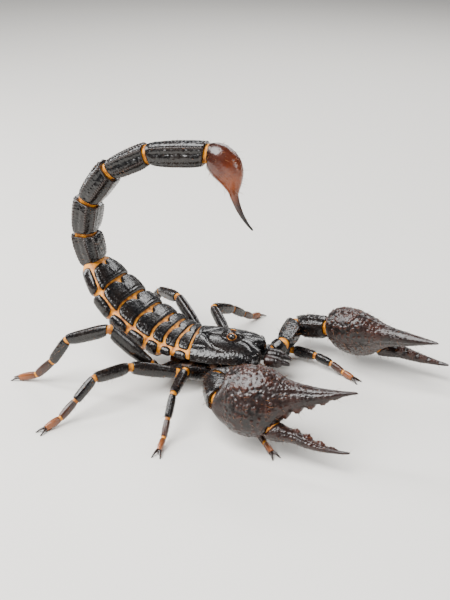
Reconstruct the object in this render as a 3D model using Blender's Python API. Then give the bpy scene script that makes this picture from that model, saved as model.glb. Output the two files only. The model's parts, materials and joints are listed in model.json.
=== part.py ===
"""A large forest scorpion, life size, standing on guard: claws forward, tail arched over the back.

The head shield points along +X and the floor is z = 0. Sizes are in millimetres while the
pieces are made, and shape_object() turns them into metres. Every plate and every limb link is
a closed body of its own, and neighbours stay GAP apart. A direction is given by its azimuth
(0 is forward, 90 is the animal's left) and its pitch above the horizon; a pitch over 90 leans
back over the start, as the tail's does.
"""

import math
from collections import namedtuple

import bmesh
import bpy
from mathutils import Vector

MM = 0.001
GAP = 0.3
LEFT, RIGHT = 1, -1

# ---- driving dimensions, in millimetres --------------------------------------------------
CARAPACE_LENGTH = 22.0
CARAPACE_WIDTH = 21.6
CARAPACE_CROWN = 15.0  # height of the shield's top above the floor
CARAPACE_RIM = 9.6  # height of the shield's lower edge
MOUND_X = 0.7  # the eye mound's middle, ahead of the shield's
MOUND_LENGTH = 8.2
MOUND_WIDTH = 4.0
EYE_RADIUS = 1.05
COXA_TOP = CARAPACE_RIM - 0.6
BELLY_CLEARANCE = 3.2
TRUNK_WIDTH = 24.0
TRUNK_HEIGHT = 10.6
TAIL_WIDTH = 9.6
CHELA_PALM = 20.4  # breadth of the hand
FOOT_HEIGHT = 0.95  # height of a foot's last joint above the floor

SIDES_TRUNK = 20
SIDES_TAIL = 14
SIDES_ARM = 14
SIDES_LEG = 8

# ---- the pose ----------------------------------------------------------------------------
Link = namedtuple("Link", "length azimuth pitch")
# Trunk rings, front to back: length, width and height as shares of the trunk's, azimuth, pitch.
TRUNK = (
    (4.0, 0.88, 0.58, 172, 6),
    (4.3, 0.92, 0.62, 170, 11),
    (4.6, 0.96, 0.94, 168, 17),
    (6.8, 1.00, 1.00, 166, 23),
    (7.6, 1.00, 1.00, 165, 31),
    (8.4, 0.94, 0.97, 164, 41),
    (9.6, 0.80, 0.90, 165, 50),
)
TAIL_AZIMUTH = 174
# Tail rings, front to back: length, width and height as shares of the tail's, pitch.
TAIL = (
    (10.8, 1.02, 0.98, 76),
    (11.6, 0.98, 0.98, 100),
    (13.4, 0.93, 0.92, 127),
    (14.6, 0.84, 0.80, 154),
    (19.6, 0.84, 0.84, 174),
)
# Sting bulb: distance along its bowed axis, width and height as shares of the tail's, pitch.
BULB = (
    (0.0, 0.60, 0.66, 198),
    (1.2, 0.72, 0.86, 204),
    (3.4, 0.84, 1.04, 216),
    (6.4, 0.86, 1.10, 232),
    (9.6, 0.74, 0.92, 246),
    (12.4, 0.54, 0.62, 256),
    (14.6, 0.36, 0.38, 258),
)
STING_LENGTH = 13.5
STING_ROOT = 1.62  # half its thickness where it leaves the bulb
STING_TIP = 0.28
STING_PITCHES = (258, 226)  # it sweeps forward from the first to the second

# Claw arms: for each side the shoulder, then azimuth and pitch of each link, and the hand's roll.
ARM_LENGTHS = {"trochanter": 4.4, "femur": 17.2, "patella": 14.8}
ArmPose = namedtuple("ArmPose", "trochanter femur patella hand roll")
ARMS = {
    RIGHT: ArmPose((-80, 26), (-139, 10), (-72, 3), (-4, 11), 26),
    LEFT: ArmPose((34, 30), (86, -4), (-28, 14), (-26, 9), -42),
}
SHOULDER = (12.6, 7.6, 7.0)
# The hand from wrist to tip of its fixed finger: distance, lower edge, upper edge, half thickness.
HAND = (
    (-1.8, -2.6, 2.8, 2.6),
    (0.8, -4.4, 4.6, 3.4),
    (3.4, -8.2, 8.4, 5.4),
    (6.6, -9.8, 9.9, 6.5),
    (9.6, -10.3, 10.2, 6.6),
    (12.6, -10.0, 9.9, 6.2),
    (15.8, -8.1, 9.0, 5.4),
    (19.0, -5.3, 7.0, 4.3),
    (22.5, -3.3, 5.2, 3.2),
    (26.5, -2.2, 4.0, 2.5),
    (31.0, -1.2, 3.0, 1.9),
    (35.5, 0.1, 2.3, 1.2),
    (39.0, 0.9, 1.9, 0.6),
    (40.6, 1.1, 1.7, 0.3),
)
# The movable finger: place along the hand, height, half depth, half thickness, and its tilt.
FINGER = (
    (16.4, -8.75, 3.3, 3.2, -50),
    (18.6, -9.6, 2.6, 2.8, -38),
    (21.8, -10.3, 1.95, 2.2, -28),
    (25.7, -12.0, 1.60, 1.8, -24),
    (30.1, -13.6, 1.10, 1.3, -18),
    (34.2, -14.6, 0.62, 0.8, -10),
    (37.6, -15.0, 0.30, 0.35, -2),
)

# Legs, from the hip: lengths of thigh, shin, shank, ankle and foot for the first pair.
LEG_LENGTHS = (15.0, 10.5, 7.0, 5.4, 4.6)
LEG_SCALE = {1: 0.92, 2: 1.07, 3: 1.26, 4: 1.44}
LEG_DEPTH = 3.5
LEG_BREADTH = 2.7
HIPS = {1: (6.4, 10.4, 5.8), 2: (-1.6, 11.3, 6.2), 3: (-10.8, 12.0, 6.2), 4: (-20.4, 12.2, 6.0)}
# Azimuth of the thigh and of the rest; pitch of every link after the thigh, which takes up
# whatever brings the foot to the floor.
LegPose = namedtuple("LegPose", "thigh rest pitches")
LEGS = {
    (RIGHT, 1): LegPose(-95, -47, (4, -8, -26, -14)),
    (RIGHT, 2): LegPose(-120, -93, (-8, -46, -46, -18)),
    (RIGHT, 3): LegPose(-157, -126, (4, -36, -34, -14)),
    (RIGHT, 4): LegPose(-162, -179, (-20, -56, -44, -16)),
    (LEFT, 1): LegPose(34, -28, (6, -6, -17, -12)),
    (LEFT, 2): LegPose(130, 64, (-22, -34, -30, -14)),
    (LEFT, 3): LegPose(142, 134, (-12, -44, -46, -18)),
    (LEFT, 4): LegPose(158, 122, (2, -36, -34, -12)),
}
# The underside of the head: place along the body and half width.
BREAST = (
    (-17.6, 4.2),
    (-15.0, 5.4),
    (-9.0, 7.4),
    (-4.0, 8.4),
    (3.0, 8.2),
    (9.0, 6.8),
    (11.4, 5.6),
)
HIP_ROOTS = {1: 4.6, 2: 0.6, 3: -4.0, 4: -8.4}
HIP_ROOT_Z = (COXA_TOP + BELLY_CLEARANCE + 0.9) / 2 - 0.2
CLAW_LENGTH = 3.4
CLAW_SPREAD = 24
CLAW_THICKNESS = 0.46

# Finishes: colour, roughness.
BLACK_SHELL = ((0.012, 0.011, 0.011), 0.28)
BROWN_SHELL = ((0.055, 0.022, 0.012), 0.34)
AMBER_SHELL = ((0.42, 0.19, 0.035), 0.36)
EYE_BLACK = ((0.004, 0.004, 0.005), 0.08)


# ---- directions, sections and rings ------------------------------------------------------
def heading(azimuth, pitch):
    """The unit vector of that azimuth and pitch."""
    a, p = math.radians(azimuth), math.radians(pitch)
    return Vector((math.cos(p) * math.cos(a), math.cos(p) * math.sin(a), math.sin(p)))


def leftward(azimuth):
    """The level unit vector to the left of an azimuth."""
    a = math.radians(azimuth)
    return Vector((-math.sin(a), math.cos(a), 0.0))


def signed_power(value, power):
    return math.copysign(abs(value) ** power, value)


def oval(half_width, up, down, sides, squareness=2.2):
    """A closed section as (across, up) pairs; its upper and lower halves may differ in height."""
    power = 2.0 / squareness
    points = []
    for i in range(sides):
        angle = 2 * math.pi * (i + 0.5) / sides
        height = up if math.sin(angle) > 0 else down
        across = half_width * signed_power(math.cos(angle), power)
        points.append((across, height * signed_power(math.sin(angle), power)))
    return points


def ring(centre, along, side, section, plane=None):
    """The section set across `along` at `centre`, then slid along it onto the plane's normal."""
    up = along.cross(side).normalized()
    plane = plane or along
    points = []
    for across, height in section:
        offset = side * across + up * height
        slide = -(offset.dot(plane)) / along.dot(plane)
        points.append(centre + offset + along * slide)
    return points


def halfway(before, after):
    """The normal of the plane that halves the bend between two directions."""
    return (before + after).normalized()


def walk(start, links):
    """The joint centres of a chain of links."""
    joints = [Vector(start)]
    for link in links:
        joints.append(joints[-1] + heading(link.azimuth, link.pitch) * link.length)
    return joints


def link_body(joints, links, first, last, profile, sides, squareness, before, after):
    """One body that runs over links first..last of a chain.

    profile(k) gives link k's stations as (share of its length, half width, half height). The
    body is cut square to the bends at both ends, half a GAP short of the joint; `before` and
    `after` are the directions of what it meets there.
    """
    directions = [heading(link.azimuth, link.pitch) for link in links]
    rings = []
    for k in range(first, last + 1):
        along, side = directions[k], leftward(links[k].azimuth)
        for share, half_width, half_height in profile(k):
            if share == 0.0 and k > first:
                continue
            plane, reach = along, 0.0
            if share == 0.0:
                reach = -spare_length(before, along, half_height)
            elif share == 1.0 and k < last:
                plane = halfway(along, directions[k + 1])
            elif share == 1.0:
                reach = spare_length(along, after, half_height)
            centre = joints[k] + along * (share * links[k].length + reach)
            section = oval(half_width, half_height, half_height, sides, squareness)
            rings.append(ring(centre, along, side, section, plane))
    bm = lofted(rings)
    cut_flat(bm, joints[first], halfway(before, directions[first]))
    cut_flat(bm, joints[last + 1], -halfway(directions[last], after))
    return bm


def spare_length(before, after, half_height):
    """How far past a joint a body must start for its bend to cut it whole."""
    return 0.4 + 1.25 * half_height * math.tan(before.angle(after) / 2)


# ---- meshes and objects ------------------------------------------------------------------
def lofted(rings):
    """A closed bmesh through the rings, with flat ends."""
    bm = bmesh.new()
    loops = [[bm.verts.new(point) for point in points] for points in rings]
    for near, far in zip(loops, loops[1:]):
        for i in range(len(near)):
            j = (i + 1) % len(near)
            bm.faces.new((near[i], near[j], far[j], far[i]))
    bm.faces.new(loops[0])
    bm.faces.new(loops[-1])
    bmesh.ops.recalc_face_normals(bm, faces=bm.faces)
    return bm


def shell_material(name, colour, roughness):
    material = bpy.data.materials.new(name)
    material.use_nodes = True
    shader = material.node_tree.nodes["Principled BSDF"]
    shader.inputs["Base Color"].default_value = (*colour, 1.0)
    shader.inputs["Roughness"].default_value = roughness
    shader.inputs["Metallic"].default_value = 0.0
    return material


def shape_object(name, bm, origin, finish, stand):
    """A metre-sized object with its own material and its origin at `origin`, hung on the stand."""
    bmesh.ops.translate(bm, verts=bm.verts, vec=-Vector(origin))
    bmesh.ops.scale(bm, verts=bm.verts, vec=(MM, MM, MM))
    mesh = bpy.data.meshes.new(name)
    bm.to_mesh(mesh)
    bm.free()
    mesh.materials.append(shell_material(f"{name}_finish", *finish))
    mesh.shade_smooth()
    mesh.set_sharp_from_angle(angle=math.radians(40))
    obj = bpy.data.objects.new(name, mesh)
    obj.location = Vector(origin) * MM
    obj.parent = stand
    bpy.context.scene.collection.objects.link(obj)
    return obj


def combined(bodies, operation="UNION"):
    """One bmesh from the first body and the rest, by exact Booleans."""
    objects = []
    for i, bm in enumerate(bodies):
        mesh = bpy.data.meshes.new(f"working_{i}")
        bm.to_mesh(mesh)
        bm.free()
        obj = bpy.data.objects.new(f"working_{i}", mesh)
        bpy.context.scene.collection.objects.link(obj)
        objects.append(obj)
    base, others = objects[0], objects[1:]
    for other in others:
        modifier = base.modifiers.new("joined", "BOOLEAN")
        modifier.operation = operation
        modifier.solver = "EXACT"
        modifier.object = other
    graph = bpy.context.evaluated_depsgraph_get()
    result = bmesh.new()
    result.from_object(base, graph)
    for obj in objects:
        mesh = obj.data
        bpy.data.objects.remove(obj)
        bpy.data.meshes.remove(mesh)
    bmesh.ops.remove_doubles(result, verts=result.verts, dist=0.004)
    bmesh.ops.dissolve_degenerate(result, edges=result.edges, dist=0.004)
    bmesh.ops.triangulate(result, faces=[f for f in result.faces if len(f.verts) > 4])
    bmesh.ops.recalc_face_normals(result, faces=result.faces)
    return result


def cut_flat(bm, point, inward, gap=0.5 * GAP):
    """Cuts away what lies behind a plane, `gap` inside it, and closes the cut with a flat."""
    bmesh.ops.bisect_plane(
        bm,
        geom=bm.verts[:] + bm.edges[:] + bm.faces[:],
        plane_co=point + inward * gap,
        plane_no=-inward,
        clear_outer=True,
        dist=0.0005,
    )
    rim = [edge for edge in bm.edges if edge.is_boundary]
    if rim:
        bmesh.ops.holes_fill(bm, edges=rim, sides=0)
    bmesh.ops.remove_doubles(bm, verts=bm.verts, dist=0.002)
    bmesh.ops.recalc_face_normals(bm, faces=bm.faces)


# ---- head ---------------------------------------------------------------------------------
def carapace_half_width(x):
    """Half the shield's width: broadest behind the middle, narrowing to rounded front corners."""
    reach = x / (CARAPACE_LENGTH / 2)
    taper = 1.0 - 0.23 * max(reach + 0.45, 0.0) ** 1.6 * 0.56 - 0.05 * max(-reach - 0.45, 0.0)
    return CARAPACE_WIDTH / 2 * taper


def carapace():
    """The head shield: a low dome with a notch in its front edge."""
    half = CARAPACE_LENGTH / 2
    stations = (-1.0, -0.93, -0.7, -0.4, -0.1, 0.2, 0.5, 0.75, 0.9, 0.97, 1.0)
    rings = []
    for share in stations:
        x = half * share
        corner = 1.0 - 0.34 * max((share - 0.8) / 0.2, 0.0) ** 2
        half_width = carapace_half_width(x) * corner
        front = max((share - 0.35) / 0.65, 0.0)
        crown = (CARAPACE_CROWN - CARAPACE_RIM - 0.55) * (1.0 - 0.5 * front**1.6)
        crown *= 0.94 if share == -1.0 else 1.0
        notch = 1.7 * max((share - 0.7) / 0.3, 0.0)
        section = oval(half_width, crown, 0.55, SIDES_TRUNK, 2.5)
        points = []
        for across, height in section:
            dip = notch * math.exp(-((across / 2.4) ** 2))
            rim = CARAPACE_RIM + 0.55
            points.append(Vector((x - dip, across, rim + height)))
        rings.append(points)
    return lofted(rings)


def eye_mound():
    """The low almond mound on the shield that carries the two middle eyes."""
    rings = []
    for size, z in ((1.0, 13.6), (0.98, 14.9), (0.84, 15.9), (0.5, 16.7)):
        points = []
        for i in range(12):
            angle = 2 * math.pi * i / 12
            x = MOUND_X + MOUND_LENGTH / 2 * size * math.cos(angle)
            points.append(Vector((x, MOUND_WIDTH / 2 * size * math.sin(angle), z)))
        rings.append(points)
    return lofted(rings)


def eye_place(hand):
    """Centre of an eye's flat back and the way that it looks."""
    look = heading(hand * 78, 28)
    return Vector((MOUND_X + 0.3, hand * (MOUND_WIDTH / 2 - 0.08), 15.75)), look


def eye(hand):
    """A glassy bead on the side of the mound: a dome on a flat back."""
    centre, look = eye_place(hand)
    side = leftward(hand * 78)
    rings = []
    for share in (0.0, 0.35, 0.7, 0.92):
        radius = EYE_RADIUS * math.sqrt(1 - share**2)
        section = oval(radius, radius, radius, 12, 2.0)
        rings.append(ring(centre + look * (GAP + 0.26 + 0.75 * share), look, side, section))
    return lofted(rings)


def prosoma_base():
    """The underside of the head: breastplate, the hips of the eight legs and of the arms."""
    top, bottom = COXA_TOP, BELLY_CLEARANCE + 0.9
    middle, half_height = (top + bottom) / 2, (top - bottom) / 2
    core = []
    for x, half_width in BREAST:
        section = oval(half_width, half_height, half_height, 12, 3.0)
        core.append(ring(Vector((x, 0, middle)), Vector((1, 0, 0)), Vector((0, 1, 0)), section))
    bodies = [lofted(core)]
    for hand in (LEFT, RIGHT):
        for number, hip in HIPS.items():
            start = Vector((HIP_ROOTS[number], hand * 3.4, middle - 0.2))
            end = Vector((hip[0], hand * hip[1], hip[2]))
            along, onward = hip_direction(hand, number), leg_chain(hand, number)[0][0]
            shape = ((0.0, 1.6, 1.9), (0.55, 2.25, 2.3), (0.9, 1.9, 2.0), (1.0, 1.55, 1.7))
            bodies.append(stub(start, end, along, heading(onward.azimuth, onward.pitch), shape))
        end = Vector((SHOULDER[0], hand * SHOULDER[1], SHOULDER[2]))
        start = end - shoulder_direction(hand) * 8.4
        onward = arm_chain(hand)[0][0]
        shape = ((0.0, 2.4, 2.0), (0.6, 2.9, 2.1), (0.9, 2.6, 2.0), (1.0, 2.2, 1.9))
        bodies.append(
            stub(start, end, shoulder_direction(hand), heading(onward.azimuth, onward.pitch), shape)
        )
    return combined(bodies)


def stub(start, end, along, after, shape):
    """A hip: a short limb cut square to the bend where the limb proper begins."""
    side = Vector((-along.y, along.x, 0)).normalized()
    length = (end - start).length
    rings = []
    for share, half_width, half in shape:
        reach = spare_length(along, after, half) if share == 1.0 else 0.0
        section = oval(half_width, half, half, SIDES_LEG, 2.4)
        rings.append(ring(start + along * (length * share + reach), along, side, section))
    bm = lofted(rings)
    cut_flat(bm, end, -halfway(along, after))
    return bm


def hip_direction(hand, number):
    """Which way a leg's hip points, from the middle of the breast outwards."""
    x, y, z = HIPS[number]
    root = Vector((HIP_ROOTS[number], hand * 3.4, HIP_ROOT_Z))
    return (Vector((x, hand * y, z)) - root).normalized()


def shoulder_direction(hand):
    return Vector((0.9, hand * 0.43, 0.0)).normalized()


def chelicera(hand):
    """One of the two small jaws under the shield's front edge, with its pincer."""
    rings = []
    for x, y, half_width, half_height in (
        (11.75, 2.25, 1.75, 1.35),
        (13.2, 2.35, 2.05, 1.75),
        (15.4, 2.4, 1.95, 1.75),
        (17.0, 2.35, 1.45, 1.35),
        (17.8, 2.3, 0.9, 0.9),
    ):
        section = oval(half_width, half_height, half_height, 10, 2.3)
        centre = Vector((x, hand * y, 9.1 - 0.1 * (x - 11.75)))
        rings.append(ring(centre, Vector((1, 0, 0)), Vector((0, 1, 0)), section))
    bodies = [lofted(rings)]
    for y_root, y_tip in ((1.55, 1.45), (3.1, 2.35)):
        tine = []
        for share, radius in ((0.0, 0.75), (0.5, 0.6), (1.0, 0.26)):
            x = 16.2 + 3.8 * share
            y = hand * (y_root + (y_tip - y_root) * share**1.5)
            section = oval(radius, radius, radius, 8, 2.0)
            centre = Vector((x, y, 8.7 - 0.9 * share**2))
            tine.append(ring(centre, Vector((1, 0, 0)), Vector((0, 1, 0)), section))
        bodies.append(lofted(tine))
    return combined(bodies)


# ---- trunk and tail -------------------------------------------------------------------------
def trunk_chain():
    """Links and joints of the seven trunk rings, along the line through their widest places."""
    links = [Link(length, azimuth, pitch) for length, _, _, azimuth, pitch in TRUNK]
    start = (-CARAPACE_LENGTH / 2 - 0.5 * GAP, 0.0, CARAPACE_RIM + 0.9)
    return links, walk(start, links)


def trunk_ring(k, links, joints, tail_direction):
    """One ring of the trunk. The first two are only the roof over the rearmost hips."""
    _, width, height, _, _ = TRUNK[k]
    next_width = TRUNK[k + 1][1] if k + 1 < len(TRUNK) else 0.50
    next_height = TRUNK[k + 1][2] if k + 1 < len(TRUNK) else 0.72
    directions = [heading(link.azimuth, link.pitch) for link in links]
    along, side = directions[k], leftward(links[k].azimuth)
    start = halfway(directions[k - 1], along) if k else Vector((-1, 0, 0))
    end = halfway(along, directions[k + 1] if k + 1 < len(links) else tail_direction)
    rings = []
    for share in (0.0, 0.3, 0.75, 1.0):
        blend = share**1.5 if k == len(TRUNK) - 1 else 0.5 * share
        half_width = TRUNK_WIDTH / 2 * (width + (next_width - width) * blend)
        tall = TRUNK_HEIGHT * (height + (next_height - height) * blend)
        up = min(tall * 0.52, 0.47 * TRUNK_HEIGHT) if k > 1 else 4.55
        down = tall - up if k > 1 else 1.25
        bulge = 1.0 if 0.0 < share < 1.0 else 0.965
        plane = (start * (1 - share) + end * share).normalized()
        inset = {0.0: 0.5 * GAP, 1.0: -0.5 * GAP}.get(share, 0.0)
        centre = joints[k] + along * (share * links[k].length + inset / along.dot(plane))
        section = oval(half_width * bulge, up * bulge, down * bulge, SIDES_TRUNK, 2.35)
        rings.append(ring(centre, along, side, section, plane))
    return lofted(rings)


def pecten(hand):
    """One of the two combs under the belly: a curved blade with a row of teeth behind."""
    teeth, length, depth, tooth, thick = 12, 10.5, 1.7, 1.3, 0.8
    front, back = [], []
    for i in range(teeth * 2 + 1):
        share = i / (teeth * 2)
        bow = 1.6 * math.sin(math.pi * 0.5 * share)
        root = Vector((-15.6 - 3.6 * share + 0.2 * bow, hand * (1.2 + length * 0.93 * share), 0))
        taper = 1.0 - 0.45 * share
        reach = depth * taper + (tooth * taper if i % 2 else 0.0)
        front.append(root)
        back.append(root + Vector((-reach, -hand * 0.25 * reach, 0)))
    outline = front + back[::-1]
    level = BELLY_CLEARANCE - 0.25
    low = [p + Vector((0, 0, level)) for p in outline]
    high = [p + Vector((0, 0, level + thick)) for p in outline]
    bm = lofted([low, high])
    bmesh.ops.triangulate(bm, faces=[f for f in bm.faces if len(f.verts) > 4])
    return bm


def tail_chain(root):
    links = [Link(length, TAIL_AZIMUTH, pitch) for length, _, _, pitch in TAIL]
    return links, walk(root, links)


def tail_profile(k):
    """A tail ring is waisted at its front and flares to its rear rim."""
    _, width, height, _ = TAIL[k]
    half_width, half_height = TAIL_WIDTH / 2 * width, TAIL_WIDTH / 2 * height
    shape = ((0.0, 0.74), (0.12, 0.88), (0.38, 1.0), (0.72, 1.02), (0.9, 0.98), (1.0, 0.82))
    return [(share, half_width * size, half_height * size) for share, size in shape]


def sting_bulb(root, before):
    """The venom bulb. Its axis bows down from the last tail ring. Returns it and its far end."""
    rings = []
    centre = root.copy()
    side = leftward(TAIL_AZIMUTH)
    for i, (distance, width, height, pitch) in enumerate(BULB):
        if i:
            step = distance - BULB[i - 1][0]
            centre = centre + heading(TAIL_AZIMUTH, (pitch + BULB[i - 1][3]) / 2) * step
        along = heading(TAIL_AZIMUTH, pitch)
        shift = Vector((0, 0, 0))
        if i == 0:
            shift = along * -spare_length(before, along, 3.2)
        elif i == len(BULB) - 1:
            shift = along * (-0.5 * GAP)
        half_height = TAIL_WIDTH / 2 * height
        section = oval(TAIL_WIDTH / 2 * width, half_height * 0.86, half_height * 1.1, SIDES_TAIL, 2.0)
        rings.append(ring(centre + shift, along, side, section))
    bm = lofted(rings)
    cut_flat(bm, root, halfway(before, heading(TAIL_AZIMUTH, BULB[0][3])))
    return bm, centre


def sting(root):
    """The hook at the tail's end, swept forward to a point."""
    rings = []
    centre = root.copy()
    steps = 9
    side = leftward(TAIL_AZIMUTH)
    for i in range(steps + 1):
        share = i / steps
        pitch = STING_PITCHES[0] + (STING_PITCHES[1] - STING_PITCHES[0]) * share**1.2
        along = heading(TAIL_AZIMUTH, pitch)
        if i:
            centre = centre + along * (STING_LENGTH / steps)
        radius = STING_ROOT + (STING_TIP - STING_ROOT) * share**0.72
        shift = along * (0.5 * GAP) if i == 0 else Vector((0, 0, 0))
        section = oval(radius, radius, radius, 10, 2.0)
        rings.append(ring(centre + shift, along, side, section))
    return lofted(rings)


# ---- claw arms --------------------------------------------------------------------------------
def arm_chain(hand):
    pose = ARMS[hand]
    links = [
        Link(ARM_LENGTHS["trochanter"], *pose.trochanter),
        Link(ARM_LENGTHS["femur"], *pose.femur),
        Link(ARM_LENGTHS["patella"], *pose.patella),
    ]
    shoulder = (SHOULDER[0], hand * SHOULDER[1], SHOULDER[2])
    return links, walk(shoulder, links)


def arm_profile(k):
    """Shares of length with half widths and half heights for the three arm links."""
    return (
        ((0.0, 1.9, 1.9), (0.4, 2.6, 2.6), (0.8, 2.7, 2.6), (1.0, 2.3, 2.3)),
        ((0.0, 2.1, 2.1), (0.2, 2.8, 2.6), (0.6, 3.25, 2.9), (0.88, 3.2, 2.9), (1.0, 2.6, 2.5)),
        ((0.0, 2.3, 2.3), (0.15, 3.4, 3.1), (0.45, 4.2, 3.7), (0.8, 3.9, 3.6), (1.0, 2.7, 2.7)),
    )[k]


def hand_axes(hand):
    """Along the hand, through its thickness, and up its breadth, which leans in over the head."""
    pose = ARMS[hand]
    along = heading(*pose.hand)
    level = leftward(pose.hand[0])
    upright = along.cross(level)
    roll = math.radians(pose.roll)
    breadth = upright * math.cos(roll) + level * math.sin(roll)
    return along, breadth.cross(along).normalized(), breadth


def claw_hand(hand, wrist):
    """The palm with the fixed finger that grows from it."""
    along, side, breadth = hand_axes(hand)
    rings = []
    for distance, low, high, half_thickness in HAND:
        middle, half = (low + high) / 2, (high - low) / 2
        section = oval(half_thickness, half, half, SIDES_ARM, 2.15)
        centre = wrist + along * distance + breadth * middle
        rings.append([centre + side * across + breadth * height for across, height in section])
    return lofted(rings)


def claw_finger(hand, wrist):
    """The movable finger below the fixed one."""
    along, side, breadth = hand_axes(hand)
    rings = []
    for distance, height, half_depth, half_thickness, tilt in FINGER:
        t = math.radians(tilt)
        across = breadth * math.cos(t) - along * math.sin(t)
        section = oval(half_thickness, half_depth, half_depth, 10, 2.1)
        centre = wrist + along * distance + breadth * height
        rings.append([centre + side * s + across * u for s, u in section])
    return lofted(rings)


# ---- legs ---------------------------------------------------------------------------------------
def leg_chain(hand, number):
    """Links and joints of a leg. The thigh's pitch is the one that puts the foot on the floor."""
    pose = LEGS[hand, number]
    lengths = [length * LEG_SCALE[number] for length in LEG_LENGTHS]
    x, y, z = HIPS[number]
    drop = sum(
        length * math.sin(math.radians(pitch)) for length, pitch in zip(lengths[1:], pose.pitches)
    )
    rise = (FOOT_HEIGHT - z - drop) / lengths[0]
    thigh_pitch = math.degrees(math.asin(rise))
    links = [Link(lengths[0], pose.thigh, thigh_pitch)]
    links += [Link(length, pose.rest, pitch) for length, pitch in zip(lengths[1:], pose.pitches)]
    return links, walk((x, hand * y, z), links)


def leg_profile(number):
    """Stations of every leg link; each one narrows at its joints."""
    size = 0.9 + 0.06 * number
    half_width, half_height = LEG_BREADTH / 2 * size, LEG_DEPTH / 2 * size
    shapes = (
        ((0.0, 0.86), (0.17, 1.02), (0.26, 0.9), (0.6, 1.16), (0.88, 1.1), (1.0, 0.86)),
        ((0.0, 0.78), (0.3, 1.06), (0.8, 0.98), (1.0, 0.72)),
        ((0.0, 0.70), (0.35, 0.84), (0.85, 0.80), (1.0, 0.62)),
        ((0.0, 0.60), (0.5, 0.70), (1.0, 0.56)),
        ((0.0, 0.54), (0.5, 0.60), (1.0, 0.44)),
    )

    def profile(k):
        return [(share, half_width * s, half_height * s) for share, s in shapes[k]]

    return profile


def leg_claw(start, azimuth, hand_turn):
    """One of a foot's two hooks, dipping just below the floor so that a flat can be cut."""
    rings = []
    centre = start.copy()
    steps = 4
    for i in range(steps + 1):
        share = i / steps
        direction = azimuth + hand_turn * (1.0 - 0.35 * share)
        along = heading(direction, -6 - 26 * share)
        if i:
            centre = centre + along * (CLAW_LENGTH / steps)
        radius = CLAW_THICKNESS * (1.12 - 0.45 * share)
        centre.z = max(centre.z, radius * 0.72)
        section = oval(radius, radius, radius, 6, 2.0)
        rings.append(ring(centre, along, leftward(direction), section))
    return lofted(rings)


def foot_body(links, joints, number):
    """Ankle, foot and its two hooks in one body, with flats where they meet the floor."""
    profile = leg_profile(number)
    meets = [heading(link.azimuth, link.pitch) for link in links]
    bodies = [link_body(joints, links, 3, 4, profile, SIDES_LEG, 2.2, meets[2], meets[4])]
    azimuth = links[4].azimuth
    for turn in (-CLAW_SPREAD, CLAW_SPREAD):
        root = joints[5] - heading(azimuth, links[4].pitch) * 0.9 + Vector((0, 0, -0.1))
        root += heading(azimuth + turn * 2.2, 0) * 0.25
        bodies.append(leg_claw(root, azimuth, turn))
    bm = combined(bodies)
    cut_flat(bm, Vector((0, 0, 0)), Vector((0, 0, 1)), 0.0)
    return bm


# ---- the whole animal --------------------------------------------------------------------------
def clear_scene():
    for obj in list(bpy.data.objects):
        bpy.data.objects.remove(obj)


def stand_on_origin(stand):
    """Moves the stand so that the floor below the model's middle is the origin."""
    bpy.context.view_layer.update()
    corners = [
        obj.matrix_world @ vertex.co
        for obj in bpy.context.scene.objects
        if obj.type == "MESH"
        for vertex in obj.data.vertices
    ]
    middle = [(min(c[i] for c in corners) + max(c[i] for c in corners)) / 2 for i in range(2)]
    lowest = min(c.z for c in corners)
    stand.location = (-middle[0], -middle[1], -lowest)
    bpy.context.view_layer.update()


def build_head(stand):
    shield = combined([carapace(), eye_mound()])
    shape_object("carapace", shield, (0, 0, CARAPACE_RIM), BLACK_SHELL, stand)
    shape_object("prosoma_base", prosoma_base(), (0, 0, COXA_TOP), BROWN_SHELL, stand)
    for hand, word in ((LEFT, "left"), (RIGHT, "right")):
        shape_object(f"eye_{word}", eye(hand), eye_place(hand)[0], EYE_BLACK, stand)
        shape_object(f"chelicera_{word}", chelicera(hand), (11.75, hand * 2.25, 9.1), BROWN_SHELL, stand)
        shape_object(f"pecten_{word}", pecten(hand), (-15.6, hand * 1.2, 3.0), BROWN_SHELL, stand)


def build_trunk_and_tail(stand):
    links, joints = trunk_chain()
    tail_links, tail_joints = tail_chain(joints[-1])
    last = heading(links[-1].azimuth, links[-1].pitch)
    tail_directions = [heading(link.azimuth, link.pitch) for link in tail_links]
    bulb_direction = heading(TAIL_AZIMUTH, BULB[0][3])
    for k in range(len(TRUNK)):
        body = trunk_ring(k, links, joints, tail_directions[0])
        shape_object(f"trunk_{k + 1}", body, joints[k], BLACK_SHELL, stand)
    meets = [last, *tail_directions, bulb_direction]
    for k in range(len(TAIL)):
        body = link_body(
            tail_joints, tail_links, k, k, tail_profile, SIDES_TAIL, 2.5, meets[k], meets[k + 2]
        )
        shape_object(f"tail_{k + 1}", body, tail_joints[k], BLACK_SHELL, stand)
    bulb, sting_root = sting_bulb(tail_joints[-1], tail_directions[-1])
    shape_object("sting_bulb", bulb, tail_joints[-1], AMBER_SHELL, stand)
    shape_object("sting", sting(sting_root), sting_root, BROWN_SHELL, stand)


def build_arms(stand):
    for hand, word in ((LEFT, "left"), (RIGHT, "right")):
        links, joints = arm_chain(hand)
        directions = [heading(link.azimuth, link.pitch) for link in links]
        meets = [shoulder_direction(hand), *directions, hand_axes(hand)[0]]
        for k, part in enumerate(("trochanter", "femur", "patella")):
            body = link_body(
                joints, links, k, k, arm_profile, SIDES_ARM, 2.4, meets[k], meets[k + 2]
            )
            shape_object(f"arm_{word}_{part}", body, joints[k], BLACK_SHELL, stand)
        wrist = joints[-1]
        palm = claw_hand(hand, wrist)
        cut_flat(palm, wrist, halfway(directions[-1], meets[-1]))
        shape_object(f"claw_{word}_hand", palm, wrist, BROWN_SHELL, stand)
        finger = claw_finger(hand, wrist)
        shape_object(f"claw_{word}_finger", finger, wrist, BROWN_SHELL, stand)


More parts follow.
